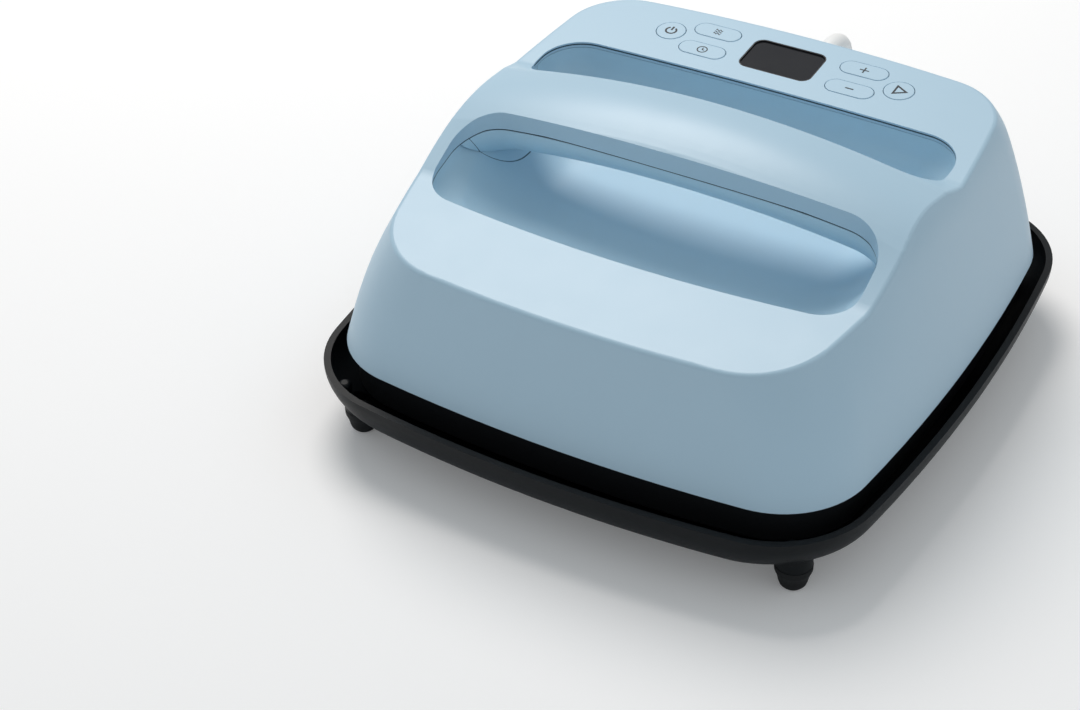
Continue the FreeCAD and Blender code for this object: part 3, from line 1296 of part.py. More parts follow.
def terminal_blocks():
    blocks = [rounded_block(TERMINAL_SIZE, TERMINAL_SIZE, TERMINAL_HEIGHT, CASE_CORNER,
                            POWER_BOARD_TOP_Z, side * TERMINAL_X, TERMINAL_Y) for side in (-1, 1)]
    blocks.append(rounded_block(MAINS_TERMINAL_LENGTH, TERMINAL_SIZE, TERMINAL_HEIGHT,
                                CASE_CORNER, POWER_BOARD_TOP_Z, BOOT_X, TERMINAL_Y))
    return group(blocks)


def ribbon_cable():
    """A flat strip from the control board down to the power board."""
    top = on_panel(Part.Vertex(Vector(RIBBON_X, RIBBON_TOP_Y - PANEL_MIDDLE_Y,
                                      -BOARD_DEPTH - BOARD_THICKNESS - CONNECTOR_HEIGHT))).Point
    low_z = POWER_BOARD_TOP_Z + CONNECTOR_HEIGHT
    third = (top.z - low_z) / 3
    points = [(top.y, top.z - SEAM / 3), (top.y, top.z - third / 2),
              (RIBBON_LOW_Y + RIBBON_BULGE, low_z + third), (RIBBON_LOW_Y, low_z + third / 2),
              (RIBBON_LOW_Y, low_z)]
    path = Part.Wire(rounded_profile(points, [RIBBON_BULGE / 2] * 3))
    half = Vector(RIBBON_WIDTH / 2, 0, 0)
    thick = Vector(0, RIBBON_THICKNESS / 2, 0)
    start = Vector(0, points[0][0], points[0][1])
    corners = [start - half - thick, start + half - thick, start + half + thick,
               start - half + thick]
    strip = path.makePipeShell([Part.makePolygon(corners + [corners[0]])], True, False)
    return strip.translated(Vector(RIBBON_X, 0, 0))


def ribbon_connectors():
    length = RIBBON_WIDTH + CONNECTOR_ENDS
    upper = on_panel(block(length, CONNECTOR_DEPTH, CONNECTOR_HEIGHT, 0, 0,
                           -BOARD_DEPTH - BOARD_THICKNESS - CONNECTOR_HEIGHT),
                     RIBBON_X, RIBBON_TOP_Y - PANEL_MIDDLE_Y)
    lower = block(length, CONNECTOR_DEPTH, CONNECTOR_HEIGHT, RIBBON_X, RIBBON_LOW_Y,
                  POWER_BOARD_TOP_Z)
    return group([upper, lower])


# ---------------------------------------------------------------- leads and cords
def bent_path(points, bend=None):
    """Straight runs joined by tangent arcs; bend is a fixed radius, or as large as fits."""
    corners = [Vector(*point) for point in points]
    edges = []
    radii = []
    start = corners[0]
    for index in range(1, len(corners) - 1):
        corner = corners[index]
        to_back = corners[index - 1] - corner
        to_next = corners[index + 1] - corner
        back = to_back / to_back.Length
        ahead = to_next / to_next.Length
        half_angle = back.getAngle(ahead) / 2
        shorter = min(to_back.Length, to_next.Length)
        radius = bend if bend else 0.45 * shorter * tan(half_angle)
        reach = radius / tan(half_angle)
        first = corner + back * reach
        last = corner + ahead * reach
        bisector = back + ahead
        bisector = bisector / bisector.Length
        middle = corner + bisector * (radius / sin(half_angle) - radius)
        edges.append(Part.LineSegment(start, first).toShape())
        edges.append(Part.Arc(first, middle, last).toShape())
        radii.append(radius)
        start = last
    edges.append(Part.LineSegment(start, corners[-1]).toShape())
    return Part.Wire(edges), radii


def tube(points, radius, bend=None, name=None):
    path, radii = bent_path(points, bend)
    direction = Vector(*points[1]) - Vector(*points[0])
    section = Part.Wire([Part.Circle(Vector(*points[0]), direction, radius).toShape()])
    solid = path.makePipeShell([section], True, False)
    if name:
        true_share = solid.Volume / (pi * radius ** 2 * path.Length)
        print(name, "length", round(path.Length, 1), "radii", [round(r, 1) for r in radii],
              "volume share", round(true_share, 4))
    return solid


def heater_leads():
    z = PLATE_TOP_Z - ELEMENT_RADIUS
    entry_z = POWER_BOARD_TOP_Z + TERMINAL_HEIGHT / 2
    leads = []
    for x, y in lead_places():
        side = 1 if x > 0 else -1
        points = [(x, ELEMENT_REACH, z), (x, y, z), (x, y, entry_z),
                  (side * (TERMINAL_X + TERMINAL_SIZE / 2), y, entry_z)]
        leads.append(tube(points, LEAD_RADIUS, LEAD_BEND))
    return group(leads)


def boot_points():
    """Points, directions and radii along the boot outside the housing."""
    centre = Vector(BOOT_X, BOOT_BEND_Y, BOOT_Z - BOOT_BEND_RADIUS)
    stations = [(Vector(BOOT_X, BOOT_ROOT_Y, BOOT_Z), Y_AXIS)]
    for share in BOOT_SHARES:
        turn = radians(BOOT_BEND * share)
        direction = Vector(0, cos(turn), -sin(turn))
        point = centre + Vector(0, sin(turn), cos(turn)) * BOOT_BEND_RADIUS
        stations.append((point, direction))
    last, direction = stations[-1]
    stations.append((last + direction * BOOT_TAIL, direction))
    return stations


def cord_boot():
    stations = boot_points()
    step = (BOOT_ROOT_RADIUS - BOOT_TIP_RADIUS) / (len(stations) - 1)
    rings = []
    for index, (point, direction) in enumerate(stations):
        radius = BOOT_ROOT_RADIUS - index * step
        rings.append(Part.Wire([Part.Circle(point, direction, radius).toShape()]))
    outside = Part.makeLoft(rings, True, False)
    neck = Part.makeCylinder(BOOT_NECK_RADIUS, BOOT_NECK + BOOT_NECK_BITE,
                             Vector(BOOT_X, BOOT_START_Y, BOOT_Z), Y_AXIS)
    flange = Part.makeCylinder(BOOT_FLANGE_RADIUS, BOOT_FLANGE,
                               Vector(BOOT_X, BOOT_START_Y - BOOT_FLANGE, BOOT_Z), Y_AXIS)
    return fuse([outside, neck, flange])


def inner_cord():
    """From the boot's inner end down to the mains terminal."""
    points = [(BOOT_X, BOOT_START_Y - BOOT_FLANGE, BOOT_Z), (BOOT_X, TERMINAL_Y, BOOT_Z),
              (BOOT_X, TERMINAL_Y, POWER_BOARD_TOP_Z + TERMINAL_HEIGHT)]
    return tube(points, INNER_CORD_RADIUS, INNER_CORD_BEND)


def coil_exit():
    turn = radians(COIL_EXIT_ANGLE)
    point = Vector(COIL_X + COIL_RADIUS * cos(turn), COIL_Y + COIL_RADIUS * sin(turn),
                   COIL_HEIGHT / 2)
    return point, Vector(-sin(turn), cos(turn), 0)


def power_cord():
    """From the boot's tip down to the floor and into the coil."""
    tip, heading = boot_points()[-1]
    start = tip + heading * SEAT_GAP
    points = [(start.x, start.y, start.z), *CORD_ROUTE,
              (COIL_X + COIL_RADIUS, COIL_Y, COIL_HEIGHT / 2)]
    return tube(points, CORD_RADIUS, name="power_cord").cut(cord_coil())


def plug_points():
    point, heading = coil_exit()
    away = point + heading * PLUG_RUN
    route = [(x, y, PLUG_HALF_HEIGHT) for x, y in PLUG_ROUTE]
    return [(point.x, point.y, point.z), (away.x, away.y, point.z + PLUG_RUN_RISE)] + route


def plug_lead():
    return tube(plug_points(), CORD_RADIUS, name="plug_lead").cut(cord_coil())


def cord_coil():
    """The outer shape of the coiled part of the cord."""
    outside = Part.makeCylinder(COIL_RADIUS + COIL_HALF_SPREAD, COIL_HEIGHT)
    ring = outside.cut(Part.makeCylinder(COIL_RADIUS - COIL_HALF_SPREAD, COIL_HEIGHT))
    rims = [edge for edge in ring.Edges if edge.isClosed()]
    return ring.makeFillet(COIL_EDGE, rims).translated(Vector(COIL_X, COIL_Y, 0))


def at_plug(shape):
    """Move a shape drawn at the origin, pointing along +X, to the end of the lead."""
    points = [Vector(*point) for point in plug_points()]
    heading = points[-1] - points[-2]
    placed = shape.copy()
    placed.rotate(Vector(0, 0, 0), Z_AXIS, degrees(Vector(heading.x, heading.y, 0).getAngle(X_AXIS))
                  * (1 if heading.y > 0 else -1))
    placed.translate(points[-1])
    return placed


def mains_plug():
    neck_length = PLUG_LENGTH / 3
    body = Part.makeBox(PLUG_LENGTH - neck_length, 2 * PLUG_HALF_WIDTH, 2 * PLUG_HALF_HEIGHT,
                        Vector(neck_length, -PLUG_HALF_WIDTH, -PLUG_HALF_HEIGHT))
    body = body.makeFillet(PLUG_HALF_HEIGHT / 2, body.Edges)
    ends = [PLUG_NECK_RADIUS * share for share in PLUG_NECK_SHARES]
    neck = Part.makeCone(ends[0], ends[1], neck_length + PLUG_NECK_BITE, Vector(0, 0, 0), X_AXIS)
    return at_plug(fuse([body, neck]))


def plug_pins():
    blades = []
    for side in (-1, 1):
        blade = Part.makeBox(PIN_LENGTH, PIN_THICKNESS, PIN_DEPTH,
                             Vector(PLUG_LENGTH, side * PIN_HALF_SPACING - PIN_THICKNESS / 2,
                                    PIN_RISE - PIN_DEPTH / 2))
        blades.append(blade)
    earth = Part.makeCylinder(EARTH_PIN_RADIUS, EARTH_PIN_LENGTH,
                              Vector(PLUG_LENGTH, 0, -EARTH_PIN_DROP), X_AXIS)
    tip = [edge for edge in earth.Edges
           if abs(edge.CenterOfMass.x - PLUG_LENGTH - EARTH_PIN_LENGTH) < MATCH]
    blades.append(earth.makeFillet(EARTH_PIN_ROUND, tip))
    return at_plug(group(blades))


# ---------------------------------------------------------------- all nodes
def build():
    nodes = {
        "base_tray": base_tray(),
        "base_feet": base_feet(),
        "base_pads": base_pads(),
        "heat_plate": heat_plate(),
        "heating_element": heating_element(),
        "heater_cover": heater_cover(),
        "thermistor": sensor(SENSOR_Y),
        "thermal_fuse": sensor(-SENSOR_Y),
        "insulation_blanket": insulation_blanket(),
        "heat_shield": heat_shield(),
        "plate_standoffs": plate_standoffs(),
        "plate_screws": plate_screws(),
        "lower_frame": lower_frame(),
        "chassis_plate": chassis_plate(),
        "housing_screws": housing_screws(),
        "top_housing": top_housing(),
        "well_liner": well_liner(),
        "liner_screws": liner_screws(),
        "handle_lower": handle_lower(),
        "handle_screws": handle_screws(),
        "display_window": display_window(),
        "display_module": display_module(),
        "control_board": control_board(),
        "board_screws": board_screws(),
        "tact_switches": tact_switches(),
        "power_board": power_board(),
        "board_pillars": board_pillars(),
        "relay": relay(),
        "transformer": transformer(),
        "capacitors": capacitors(),
        "heat_sink": heat_sink(),
        "terminal_blocks": terminal_blocks(),
        "ribbon_cable": ribbon_cable(),
        "ribbon_connectors": ribbon_connectors(),
        "heater_leads": heater_leads(),
        "inner_cord": inner_cord(),
        "cord_boot": cord_boot(),
        "power_cord": power_cord(),
        "cord_coil": cord_coil(),
        "plug_lead": plug_lead(),
        "mains_plug": mains_plug(),
        "plug_pins": plug_pins(),
    }
    for name, x, y, is_round in button_places():
        nodes[name + "_button"] = button_cap(x, y, is_round)
        nodes[name + "_plunger"] = plunger(x, y)
    return nodes


def main():
    os.makedirs("parts", exist_ok=True)
    for name, shape in build().items():
        shape.exportStep("parts/" + name + ".step")


if __name__ == "__main__":
    main()
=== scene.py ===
"""Looks of a craft heat press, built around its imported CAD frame.

Metres. +X is right, +Y is back, +Z is up, and the floor is z = 0.
"""
import math
from functools import partial

import bmesh
import bpy
from bpy.props import FloatProperty, FloatVectorProperty, IntProperty, PointerProperty
from mathutils import Matrix, Vector
from mathutils.geometry import convex_hull_2d


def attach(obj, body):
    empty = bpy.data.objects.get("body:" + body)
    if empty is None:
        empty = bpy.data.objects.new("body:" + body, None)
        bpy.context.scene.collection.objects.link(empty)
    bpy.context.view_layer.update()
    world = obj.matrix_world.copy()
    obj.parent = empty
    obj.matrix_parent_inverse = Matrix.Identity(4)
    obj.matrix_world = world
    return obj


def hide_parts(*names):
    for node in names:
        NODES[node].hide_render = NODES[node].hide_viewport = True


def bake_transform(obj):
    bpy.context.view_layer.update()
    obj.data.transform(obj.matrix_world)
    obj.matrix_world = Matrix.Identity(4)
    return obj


bl_info = {
    "name": "Craft Heat Press",
    "version": (1, 0, 0),
    "blender": (4, 5, 0),
    "location": "View3D > Sidebar > Heat Press",
    "description": "Finishes, keys, cord and stage of a craft heat press",
    "category": "Object",
}

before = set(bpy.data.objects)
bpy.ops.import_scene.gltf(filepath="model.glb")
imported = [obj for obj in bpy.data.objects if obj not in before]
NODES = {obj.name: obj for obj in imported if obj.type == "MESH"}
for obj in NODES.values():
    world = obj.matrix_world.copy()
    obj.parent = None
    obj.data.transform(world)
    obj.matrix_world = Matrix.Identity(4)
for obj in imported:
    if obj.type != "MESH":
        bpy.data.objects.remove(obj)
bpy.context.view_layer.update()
KEYS = ("power", "temperature", "timer", "plus", "minus", "start")
WHITE = (1.0, 1.0, 1.0, 1.0)
SATIN = {"Grain_Size": 0.0035, "Grain_Height": 0.000012}

# The joint between the housing and the mouldings in the hand well, seen from the side.
HANDLE_CAMBER = 0.480   # radius of the handle's top, seen from the front
SEAM_HEIGHT = 0.1372    # of the joint along the handle, at the handle's middle
SHELF_SLOPE = 0.12      # rise of the joint beside the shelf in front of the handle
SHELF_LEVEL = 0.1209    # height that this slope has at y = 0
RAMP_FRONT = -0.062     # depths between which the joint climbs from shelf to handle
RAMP_BACK = -0.030
RAMP_FOOT = 0.1135      # height of the joint where it starts to climb
STRETCHES = {           # near and far depth, and reach from the middle
    "shelf": (-0.090, RAMP_FRONT, 0.1175),
    "ramp": (RAMP_FRONT, RAMP_BACK, 0.1175),
    "handle": (RAMP_BACK, 0.026, 0.1145),
    "panel": (0.034, 0.0685, 0.1158),
}
ROOT_LINE_END = 1.08    # share of its half depth at which the line round a root stops

# Sockets of a Mix node that mixes colours, and the sockets of the effect groups.
MIX_A = 6
MIX_B = 7
MIX_RESULT = 2
SURFACE = {"Colour": "NodeSocketColor", "Roughness": "NodeSocketFloat",
           "Normal": "NodeSocketVector"}
COLOUR_ONLY = {"Colour": "NodeSocketColor"}


# ---------------------------------------------------------------- settings
def colour_property(name, default, description):
    return FloatVectorProperty(name=name, description=description, default=default, size=4,
                               subtype="COLOR", min=0.0, max=1.0)


def length_property(name, default, description):
    return FloatProperty(name=name, description=description, default=default, min=0.0,
                         subtype="DISTANCE", unit="LENGTH")


class PressViewSettings(bpy.types.PropertyGroup):
    """Where the camera stands and how the stage is lit."""
    azimuth: FloatProperty(name="Azimuth", description="Round the object from the front",
                           default=math.radians(31.82), subtype="ANGLE", unit="ROTATION")
    elevation: FloatProperty(name="Elevation", description="Above the horizon",
                             default=math.radians(36.73), subtype="ANGLE", unit="ROTATION")
    roll: FloatProperty(name="Roll", description="Turn about the line of sight",
                        default=math.radians(-1.63), subtype="ANGLE", unit="ROTATION")
    place: FloatVectorProperty(name="Place", description="Where the camera stands",
                               default=(0.4538, -0.8850, 0.7463), subtype="TRANSLATION",
                               unit="LENGTH")
    lens: FloatProperty(name="Lens", description="Focal length in millimetres", default=79.11,
                        min=20.0, unit="CAMERA")
    key_power: FloatProperty(name="Key light", description="Power of the large soft lamp",
                             default=22.5, min=0.0, unit="POWER")
    fill_power: FloatProperty(name="Fill light", description="Power of the low lamp on the right",
                              default=1.3, min=0.0, unit="POWER")
    sky: FloatProperty(name="Sky", description="Strength of the even light from all round",
                       default=0.45, min=0.0, max=2.0)


class PressFinishSettings(bpy.types.PropertyGroup):
    """Colours of the press."""
    housing: colour_property("Housing", (0.462, 0.650, 0.785, 1.0), "Light blue moulded housing")
    # The hand well's blue is the housing's blue made about a tenth lighter: painted light, so
    # that the well under the handle comes out brighter.
    brightened_liner: colour_property("Hand well", (0.510, 0.715, 0.845, 1.0), "Blue of the hand well")
    key: colour_property("Keys", (0.462, 0.650, 0.785, 1.0), "Key caps")
    base: colour_property("Base", (0.0035, 0.0050, 0.0065, 1.0), "Tray under the press")
    dark: colour_property("Display", (0.0150, 0.0150, 0.0180, 1.0), "Display window")
    ink: colour_property("Symbols", (0.0040, 0.0100, 0.0180, 1.0), "Printed key symbols")
    cord: colour_property("Cord", (0.930, 0.930, 0.920, 1.0), "Mains cord and its boot")
    steel: colour_property("Sheet steel", (0.600, 0.605, 0.610, 1.0), "Plates inside")
    plate: colour_property("Heating plate", (0.170, 0.172, 0.180, 1.0), "Non-stick face")
    board: colour_property("Circuit board", (0.020, 0.130, 0.050, 1.0), "Solder mask")


class PressCordSettings(bpy.types.PropertyGroup):
    """The mains cord and its coil."""
    diameter: length_property("Diameter", 0.007, "Outside of the sheath")
    length: length_property("Length", 1.8, "Real length from boot to plug")
    coil_x: FloatProperty(name="Coil X", description="Middle of the coil", default=-0.050,
                          unit="LENGTH")
    coil_y: FloatProperty(name="Coil Y", description="Middle of the coil", default=0.240,
                          unit="LENGTH")
    inner_radius: length_property("Inner turn", 0.0305, "Radius of the innermost turn")
    pitch: length_property("Pitch", 0.0070, "From one turn to the next")
    low_layer: length_property("Low layer", 0.0044, "Height of the lower layer's middle")
    layer: length_property("Layer", 0.0071, "From the lower layer to the upper one")
    points_per_turn: IntProperty(name="Points", description="Control points in each turn",
                                 default=18, min=12, max=36)


class PressKeySettings(bpy.types.PropertyGroup):
    """Places and sizes on the control panel."""
    panel_y: FloatProperty(name="Panel Y", description="Middle of the panel", default=0.0915,
                           unit="LENGTH")
    panel_z: FloatProperty(name="Panel Z", description="Height of the panel's middle",
                           default=0.1337, unit="LENGTH")
    panel_slope: FloatProperty(name="Slope", description="Rise of the panel towards the back",
                               default=0.08)
    cap_proud: length_property("Cap height", 0.00025, "How far a key stands out")
    ink_thickness: length_property("Ink", 0.00006, "Thickness of a printed symbol")
    round_x: length_property("Round keys", 0.0651, "Distance of the round keys from the middle")
    pill_x: length_property("Long keys", 0.0419, "Distance of the long keys from the middle")
    pill_y: length_property("Long key row", 0.00905, "Distance of a row from the middle")
    stroke: length_property("Stroke", 0.00085, "Width of a symbol's lines")


SETTINGS = {
    "press_view": PressViewSettings,
    "press_finish": PressFinishSettings,
    "press_cord": PressCordSettings,
    "press_keys": PressKeySettings,
}


# ---------------------------------------------------------------- node helpers
def add_node(tree, kind, **values):
    """A node with its own settings and, by input name, its inputs' values or links."""
    node = tree.nodes.new(kind)
    for name, value in values.items():
        label = name.replace("_", " ")
        if label not in node.inputs:
            setattr(node, name, value)
        elif isinstance(value, bpy.types.NodeSocket):
            tree.links.new(value, node.inputs[label])
        else:
            node.inputs[label].default_value = value
    return node


def math_node(tree, operation, *values, use_clamp=False):
    """The output of a math node whose inputs are numbers or other sockets."""
    node = add_node(tree, "ShaderNodeMath", operation=operation, use_clamp=use_clamp)
    for socket, value in zip(node.inputs, values):
        if isinstance(value, (int, float)):
            socket.default_value = value
        else:
            tree.links.new(value, socket)
    return node.outputs[0]


def noise(tree, place, **values):
    """The value of a noise texture at a place."""
    return add_node(tree, "ShaderNodeTexNoise", Vector=place, **values).outputs["Fac"]


def object_place(tree):
    return add_node(tree, "ShaderNodeTexCoord").outputs["Object"]


def object_axes(tree):
    """X, Y and Z of the place on the piece."""
    return add_node(tree, "ShaderNodeSeparateXYZ", Vector=object_place(tree)).outputs


def effect_group(name, outputs, **inputs):
    """A shader node group, the sockets that it is given and the sockets that it fills."""
    tree = bpy.data.node_groups.new(name, "ShaderNodeTree")
    for label, value in inputs.items():
        kind = "NodeSocketColor" if isinstance(value, tuple) else "NodeSocketFloat"
        socket = tree.interface.new_socket(label.replace("_", " "), in_out="INPUT",
                                           socket_type=kind)
        socket.default_value = value
    for label, kind in outputs.items():
        tree.interface.new_socket(label, in_out="OUTPUT", socket_type=kind)
    given = tree.nodes.new("NodeGroupInput").outputs
    return tree, given, tree.nodes.new("NodeGroupOutput").inputs


def put_out(tree, result, **outputs):
    for label, socket in outputs.items():
        tree.links.new(socket, result[label])


def once(build, name):
    """The node group of that name, built at its first use."""
    return bpy.data.node_groups.get(name) or build(name)


def moulded_group(name):
    """Moulded plastic: faint drift of colour and gloss, and a fine texture."""
    tree, given, result = effect_group(
        name, SURFACE, Colour=(0.5, 0.5, 0.5, 1.0), Roughness=0.35, Drift=0.02,
        Grain_Size=0.0012, Grain_Height=0.00001)
    calc = partial(math_node, tree)
    place = object_place(tree)
    drift = given["Drift"]
    cloud = noise(tree, place, Scale=14.0, Detail=3.0, Roughness=0.55)
    swing = add_node(tree, "ShaderNodeMapRange", Value=cloud,
                     To_Min=calc("MULTIPLY", drift, -1.0), To_Max=drift)
    tint = add_node(tree, "ShaderNodeHueSaturation", Color=given["Colour"],
                    Value=calc("ADD", swing.outputs["Result"], 1.0))
    grain = noise(tree, place, Scale=calc("DIVIDE", 1.0, given["Grain Size"]), Detail=2.0,
                  Roughness=0.6)
    smear = noise(tree, place, Scale=55.0, Detail=4.0, Roughness=0.6)
    spread = add_node(tree, "ShaderNodeMapRange", Value=smear, To_Min=-0.035, To_Max=0.045)
    rough = calc("ADD", given["Roughness"], spread.outputs["Result"], use_clamp=True)
    bump = add_node(tree, "ShaderNodeBump", Strength=1.0, Distance=given["Grain Height"],
                    Height=grain)
    put_out(tree, result, Colour=tint.outputs["Color"], Roughness=rough,
            Normal=bump.outputs["Normal"])
    return tree


def drawn_metal_group(name):
    """Rolled or drawn metal: fine streaks along X, with faint clouding."""
    tree, given, result = effect_group(name, SURFACE, Colour=(0.6, 0.6, 0.6, 1.0),
                                       Roughness=0.35, Streak=0.1)
    calc = partial(math_node, tree)
    place = object_place(tree)
    stretched = add_node(tree, "ShaderNodeMapping", Vector=place, Scale=(12.0, 900.0, 900.0))
    streak = noise(tree, stretched.outputs["Vector"], Scale=1.0, Detail=2.0)
    cloud = noise(tree, place, Scale=35.0, Detail=4.0)
    mark = calc("MULTIPLY", calc("MULTIPLY", streak, cloud), given["Streak"])
    rough = calc("ADD", mark, given["Roughness"], use_clamp=True)
    tint = add_node(tree, "ShaderNodeHueSaturation", Color=given["Colour"],
                    Value=calc("SUBTRACT", 1.04, mark))
    bump = add_node(tree, "ShaderNodeBump", Strength=0.25, Distance=0.00002, Height=streak)
    put_out(tree, result, Colour=tint.outputs["Color"], Roughness=rough,
            Normal=bump.outputs["Normal"])
    return tree


def mix_line(tree, given, result, mask):
    """Put the line's colour over the given one wherever the mask is 1."""
    mix = add_node(tree, "ShaderNodeMix", data_type="RGBA", Factor=mask)
    tree.links.new(given["Colour"], mix.inputs[MIX_A])
    tree.links.new(given["Line Colour"], mix.inputs[MIX_B])
    put_out(tree, result, Colour=mix.outputs[MIX_RESULT])


def parting_line_group(name):
    """The dark line of the joint between the housing and the mouldings in the hand well.

    It runs below the handle, where the joint follows the handle's camber, and under the
    panel's edge along the rear opening.
    """
    tree, given, result = effect_group(
        name, COLOUR_ONLY, Colour=(0.5, 0.5, 0.5, 1.0), Line_Colour=(0.02, 0.04, 0.06, 1.0),
        Seam_Height=SEAM_HEIGHT, Camber=HANDLE_CAMBER, Panel_Height=0.12508, Panel_Slope=0.08,
        Half_Width=0.0004)
    calc = partial(math_node, tree)
    x, y, z = object_axes(tree)
    camber = given["Camber"]
    under = calc("SUBTRACT", calc("MULTIPLY", camber, camber), calc("MULTIPLY", x, x))
    sunk = calc("SUBTRACT", calc("SQRT", under), camber)
    handle_z = calc("ADD", sunk, given["Seam Height"])
    ramp = RAMP_BACK - RAMP_FRONT
    climb = calc("MULTIPLY_ADD", y, 1 / ramp, -RAMP_FRONT / ramp)
    heights = {
        "shelf": calc("MULTIPLY_ADD", y, SHELF_SLOPE, SHELF_LEVEL),
        "ramp": calc("MULTIPLY_ADD", climb, calc("SUBTRACT", handle_z, RAMP_FOOT), RAMP_FOOT),
        "handle": handle_z,
        "panel": calc("MULTIPLY_ADD", y, given["Panel Slope"], given["Panel Height"]),
    }
    both = 0.0
    for stretch, (near_y, far_y, reach) in STRETCHES.items():
        off = calc("ABSOLUTE", calc("SUBTRACT", z, heights[stretch]))
        shown = calc("LESS_THAN", off, given["Half Width"])
        shown = calc("MULTIPLY", shown, calc("GREATER_THAN", y, near_y))
        shown = calc("MULTIPLY", shown, calc("LESS_THAN", y, far_y))
        shown = calc("MULTIPLY", shown, calc("LESS_THAN", calc("ABSOLUTE", x), reach))
        both = calc("MAXIMUM", both, shown)
    mix_line(tree, given, result, both)
    return tree


def root_joint_group(name):
    """The dark line round the roots of the handle, where its lower half meets the hand well.

    It is lowest under the middle of the handle and climbs to the housing in front and behind.
    """
    tree, given, result = effect_group(
        name, COLOUR_ONLY, Colour=(0.5, 0.5, 0.5, 1.0), Line_Colour=(0.060, 0.125, 0.175, 1.0),
        Lowest=0.0971, Rise=0.0237, Half_Depth=0.0350, Power=2.5, Reach=0.088,
        Half_Width=0.00022)
    calc = partial(math_node, tree)
    x, y, z = object_axes(tree)
    across = calc("DIVIDE", calc("ABSOLUTE", y), given["Half Depth"])
    climb = calc("MULTIPLY", calc("POWER", across, given["Power"]), given["Rise"])
    off = calc("ABSOLUTE", calc("SUBTRACT", z, calc("ADD", climb, given["Lowest"])))
    shown = calc("LESS_THAN", off, given["Half Width"])
    shown = calc("MULTIPLY", shown, calc("LESS_THAN", across, ROOT_LINE_END))
    outside = calc("GREATER_THAN", calc("ABSOLUTE", x), given["Reach"])
    mix_line(tree, given, result, calc("MULTIPLY", shown, outside))
    return tree


def draw_line(material, group):
    """Put a group that draws a line between a material's colour and its shader."""
    tree = material.node_tree
    base = tree.nodes["Principled BSDF"].inputs["Base Color"]
    seam = add_node(tree, "ShaderNodeGroup", node_tree=group)
    tree.links.new(base.links[0].from_socket, seam.inputs["Colour"])
    tree.links.new(seam.outputs["Colour"], base)


def principled(name, group, colour, **values):
    """A material whose colour, roughness and normal come from an effect group."""
    material = bpy.data.materials.new(name)
    material.use_nodes = True
    tree = material.node_tree
    shader = tree.nodes["Principled BSDF"]
    effect = add_node(tree, "ShaderNodeGroup", node_tree=group)
    effect.inputs["Colour"].default_value = tuple(colour)
    for label, value in values.items():
        label = label.replace("_", " ")
        target = effect if label in effect.inputs else shader
        target.inputs[label].default_value = value
    tree.links.new(effect.outputs["Colour"], shader.inputs["Base Color"])
    tree.links.new(effect.outputs["Roughness"], shader.inputs["Roughness"])
    tree.links.new(effect.outputs["Normal"], shader.inputs["Normal"])
    return material


def plastic(name, colour, roughness, **values):
    return principled(name, once(moulded_group, "Moulded Plastic"), colour,
                      Roughness=roughness, **values)


def metal(name, colour, roughness, **values):
    return principled(name, once(drawn_metal_group, "Drawn Metal"), colour,
                      Roughness=roughness, Metallic=1.0, **values)


def finish_nodes(material, *names):
    """Give CAD nodes a finish."""
    for name in names:
        slots = NODES[name].data.materials
        slots.clear()
        slots.append(material)


# ---------------------------------------------------------------- mesh helpers
def piece(name, bm, material, body, smooth_angle=35.0):
    """A finished piece of the object: its mesh holds its place and it rides on a body."""
    bmesh.ops.remove_doubles(bm, verts=bm.verts, dist=1e-7)
    bmesh.ops.recalc_face_normals(bm, faces=bm.faces)
    mesh = bpy.data.meshes.new(name)
    bm.to_mesh(mesh)
    bm.free()
    for polygon in mesh.polygons:
        polygon.use_smooth = True
    mesh.set_sharp_from_angle(angle=math.radians(smooth_angle))
    mesh.materials.append(material)
    thing = bpy.data.objects.new(name, mesh)
    bpy.context.scene.collection.objects.link(thing)
    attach(thing, body)
    return thing


def raise_faces(bm, height):
    """Turn flat faces into a thin slab of that height."""
    made = bmesh.ops.extrude_face_region(bm, geom=bm.faces[:], use_keep_orig=True)
    tops = [item for item in made["geom"] if isinstance(item, bmesh.types.BMVert)]
    bmesh.ops.translate(bm, verts=tops, vec=(0, 0, height))


def add_bar(bm, length, width, x=0.0, y=0.0, turn=0.0):
    """A flat bar along X, turned about its middle."""
    matrix = Matrix.Translation((x, y, 0)) @ Matrix.Rotation(turn, 4, "Z") \
        @ Matrix.Diagonal((length, width, 1, 1))
    bmesh.ops.create_grid(bm, x_segments=1, y_segments=1, size=0.5, matrix=matrix)


def add_wave(bm, length, width, height, y):
    """A flat bar along X, bent into two waves."""
    matrix = Matrix.Translation((0, y, 0)) @ Matrix.Diagonal((length, width, 1, 1))
    made = bmesh.ops.create_grid(bm, x_segments=32, y_segments=1, size=0.5, matrix=matrix)
    for vert in made["verts"]:
        vert.co.y += height * math.sin(vert.co.x / length * 2 * math.tau)


def hollow(bm, thickness):
    """Leave only a band of that thickness along the rim of the flat faces."""
    middle = bm.faces[:]
    bmesh.ops.inset_region(bm, faces=middle, thickness=thickness, use_even_offset=True,
                           use_boundary=True)
    bmesh.ops.delete(bm, geom=middle, context="FACES_ONLY")


def add_arc(bm, radius, width, x=0.0, y=0.0, start=0.0, sweep=math.tau, steps=40):
    """A flat arc of a ring, spun from a short radial edge."""
    direction = Vector((math.cos(start), math.sin(start), 0))
    centre = Vector((x, y, 0))
    inner = bm.verts.new(centre + direction * (radius - width / 2))
    outer = bm.verts.new(centre + direction * (radius + width / 2))
    edge = bm.edges.new((inner, outer))
    full = sweep > math.tau - 1e-6
    bmesh.ops.spin(bm, geom=[inner, outer, edge], cent=centre, axis=(0, 0, 1), angle=sweep,
                   steps=steps, use_merge=full)


def smooth_step(share):
    """A share from 0 to 1 that starts and stops gently."""
    return share * share * (3 - 2 * share)


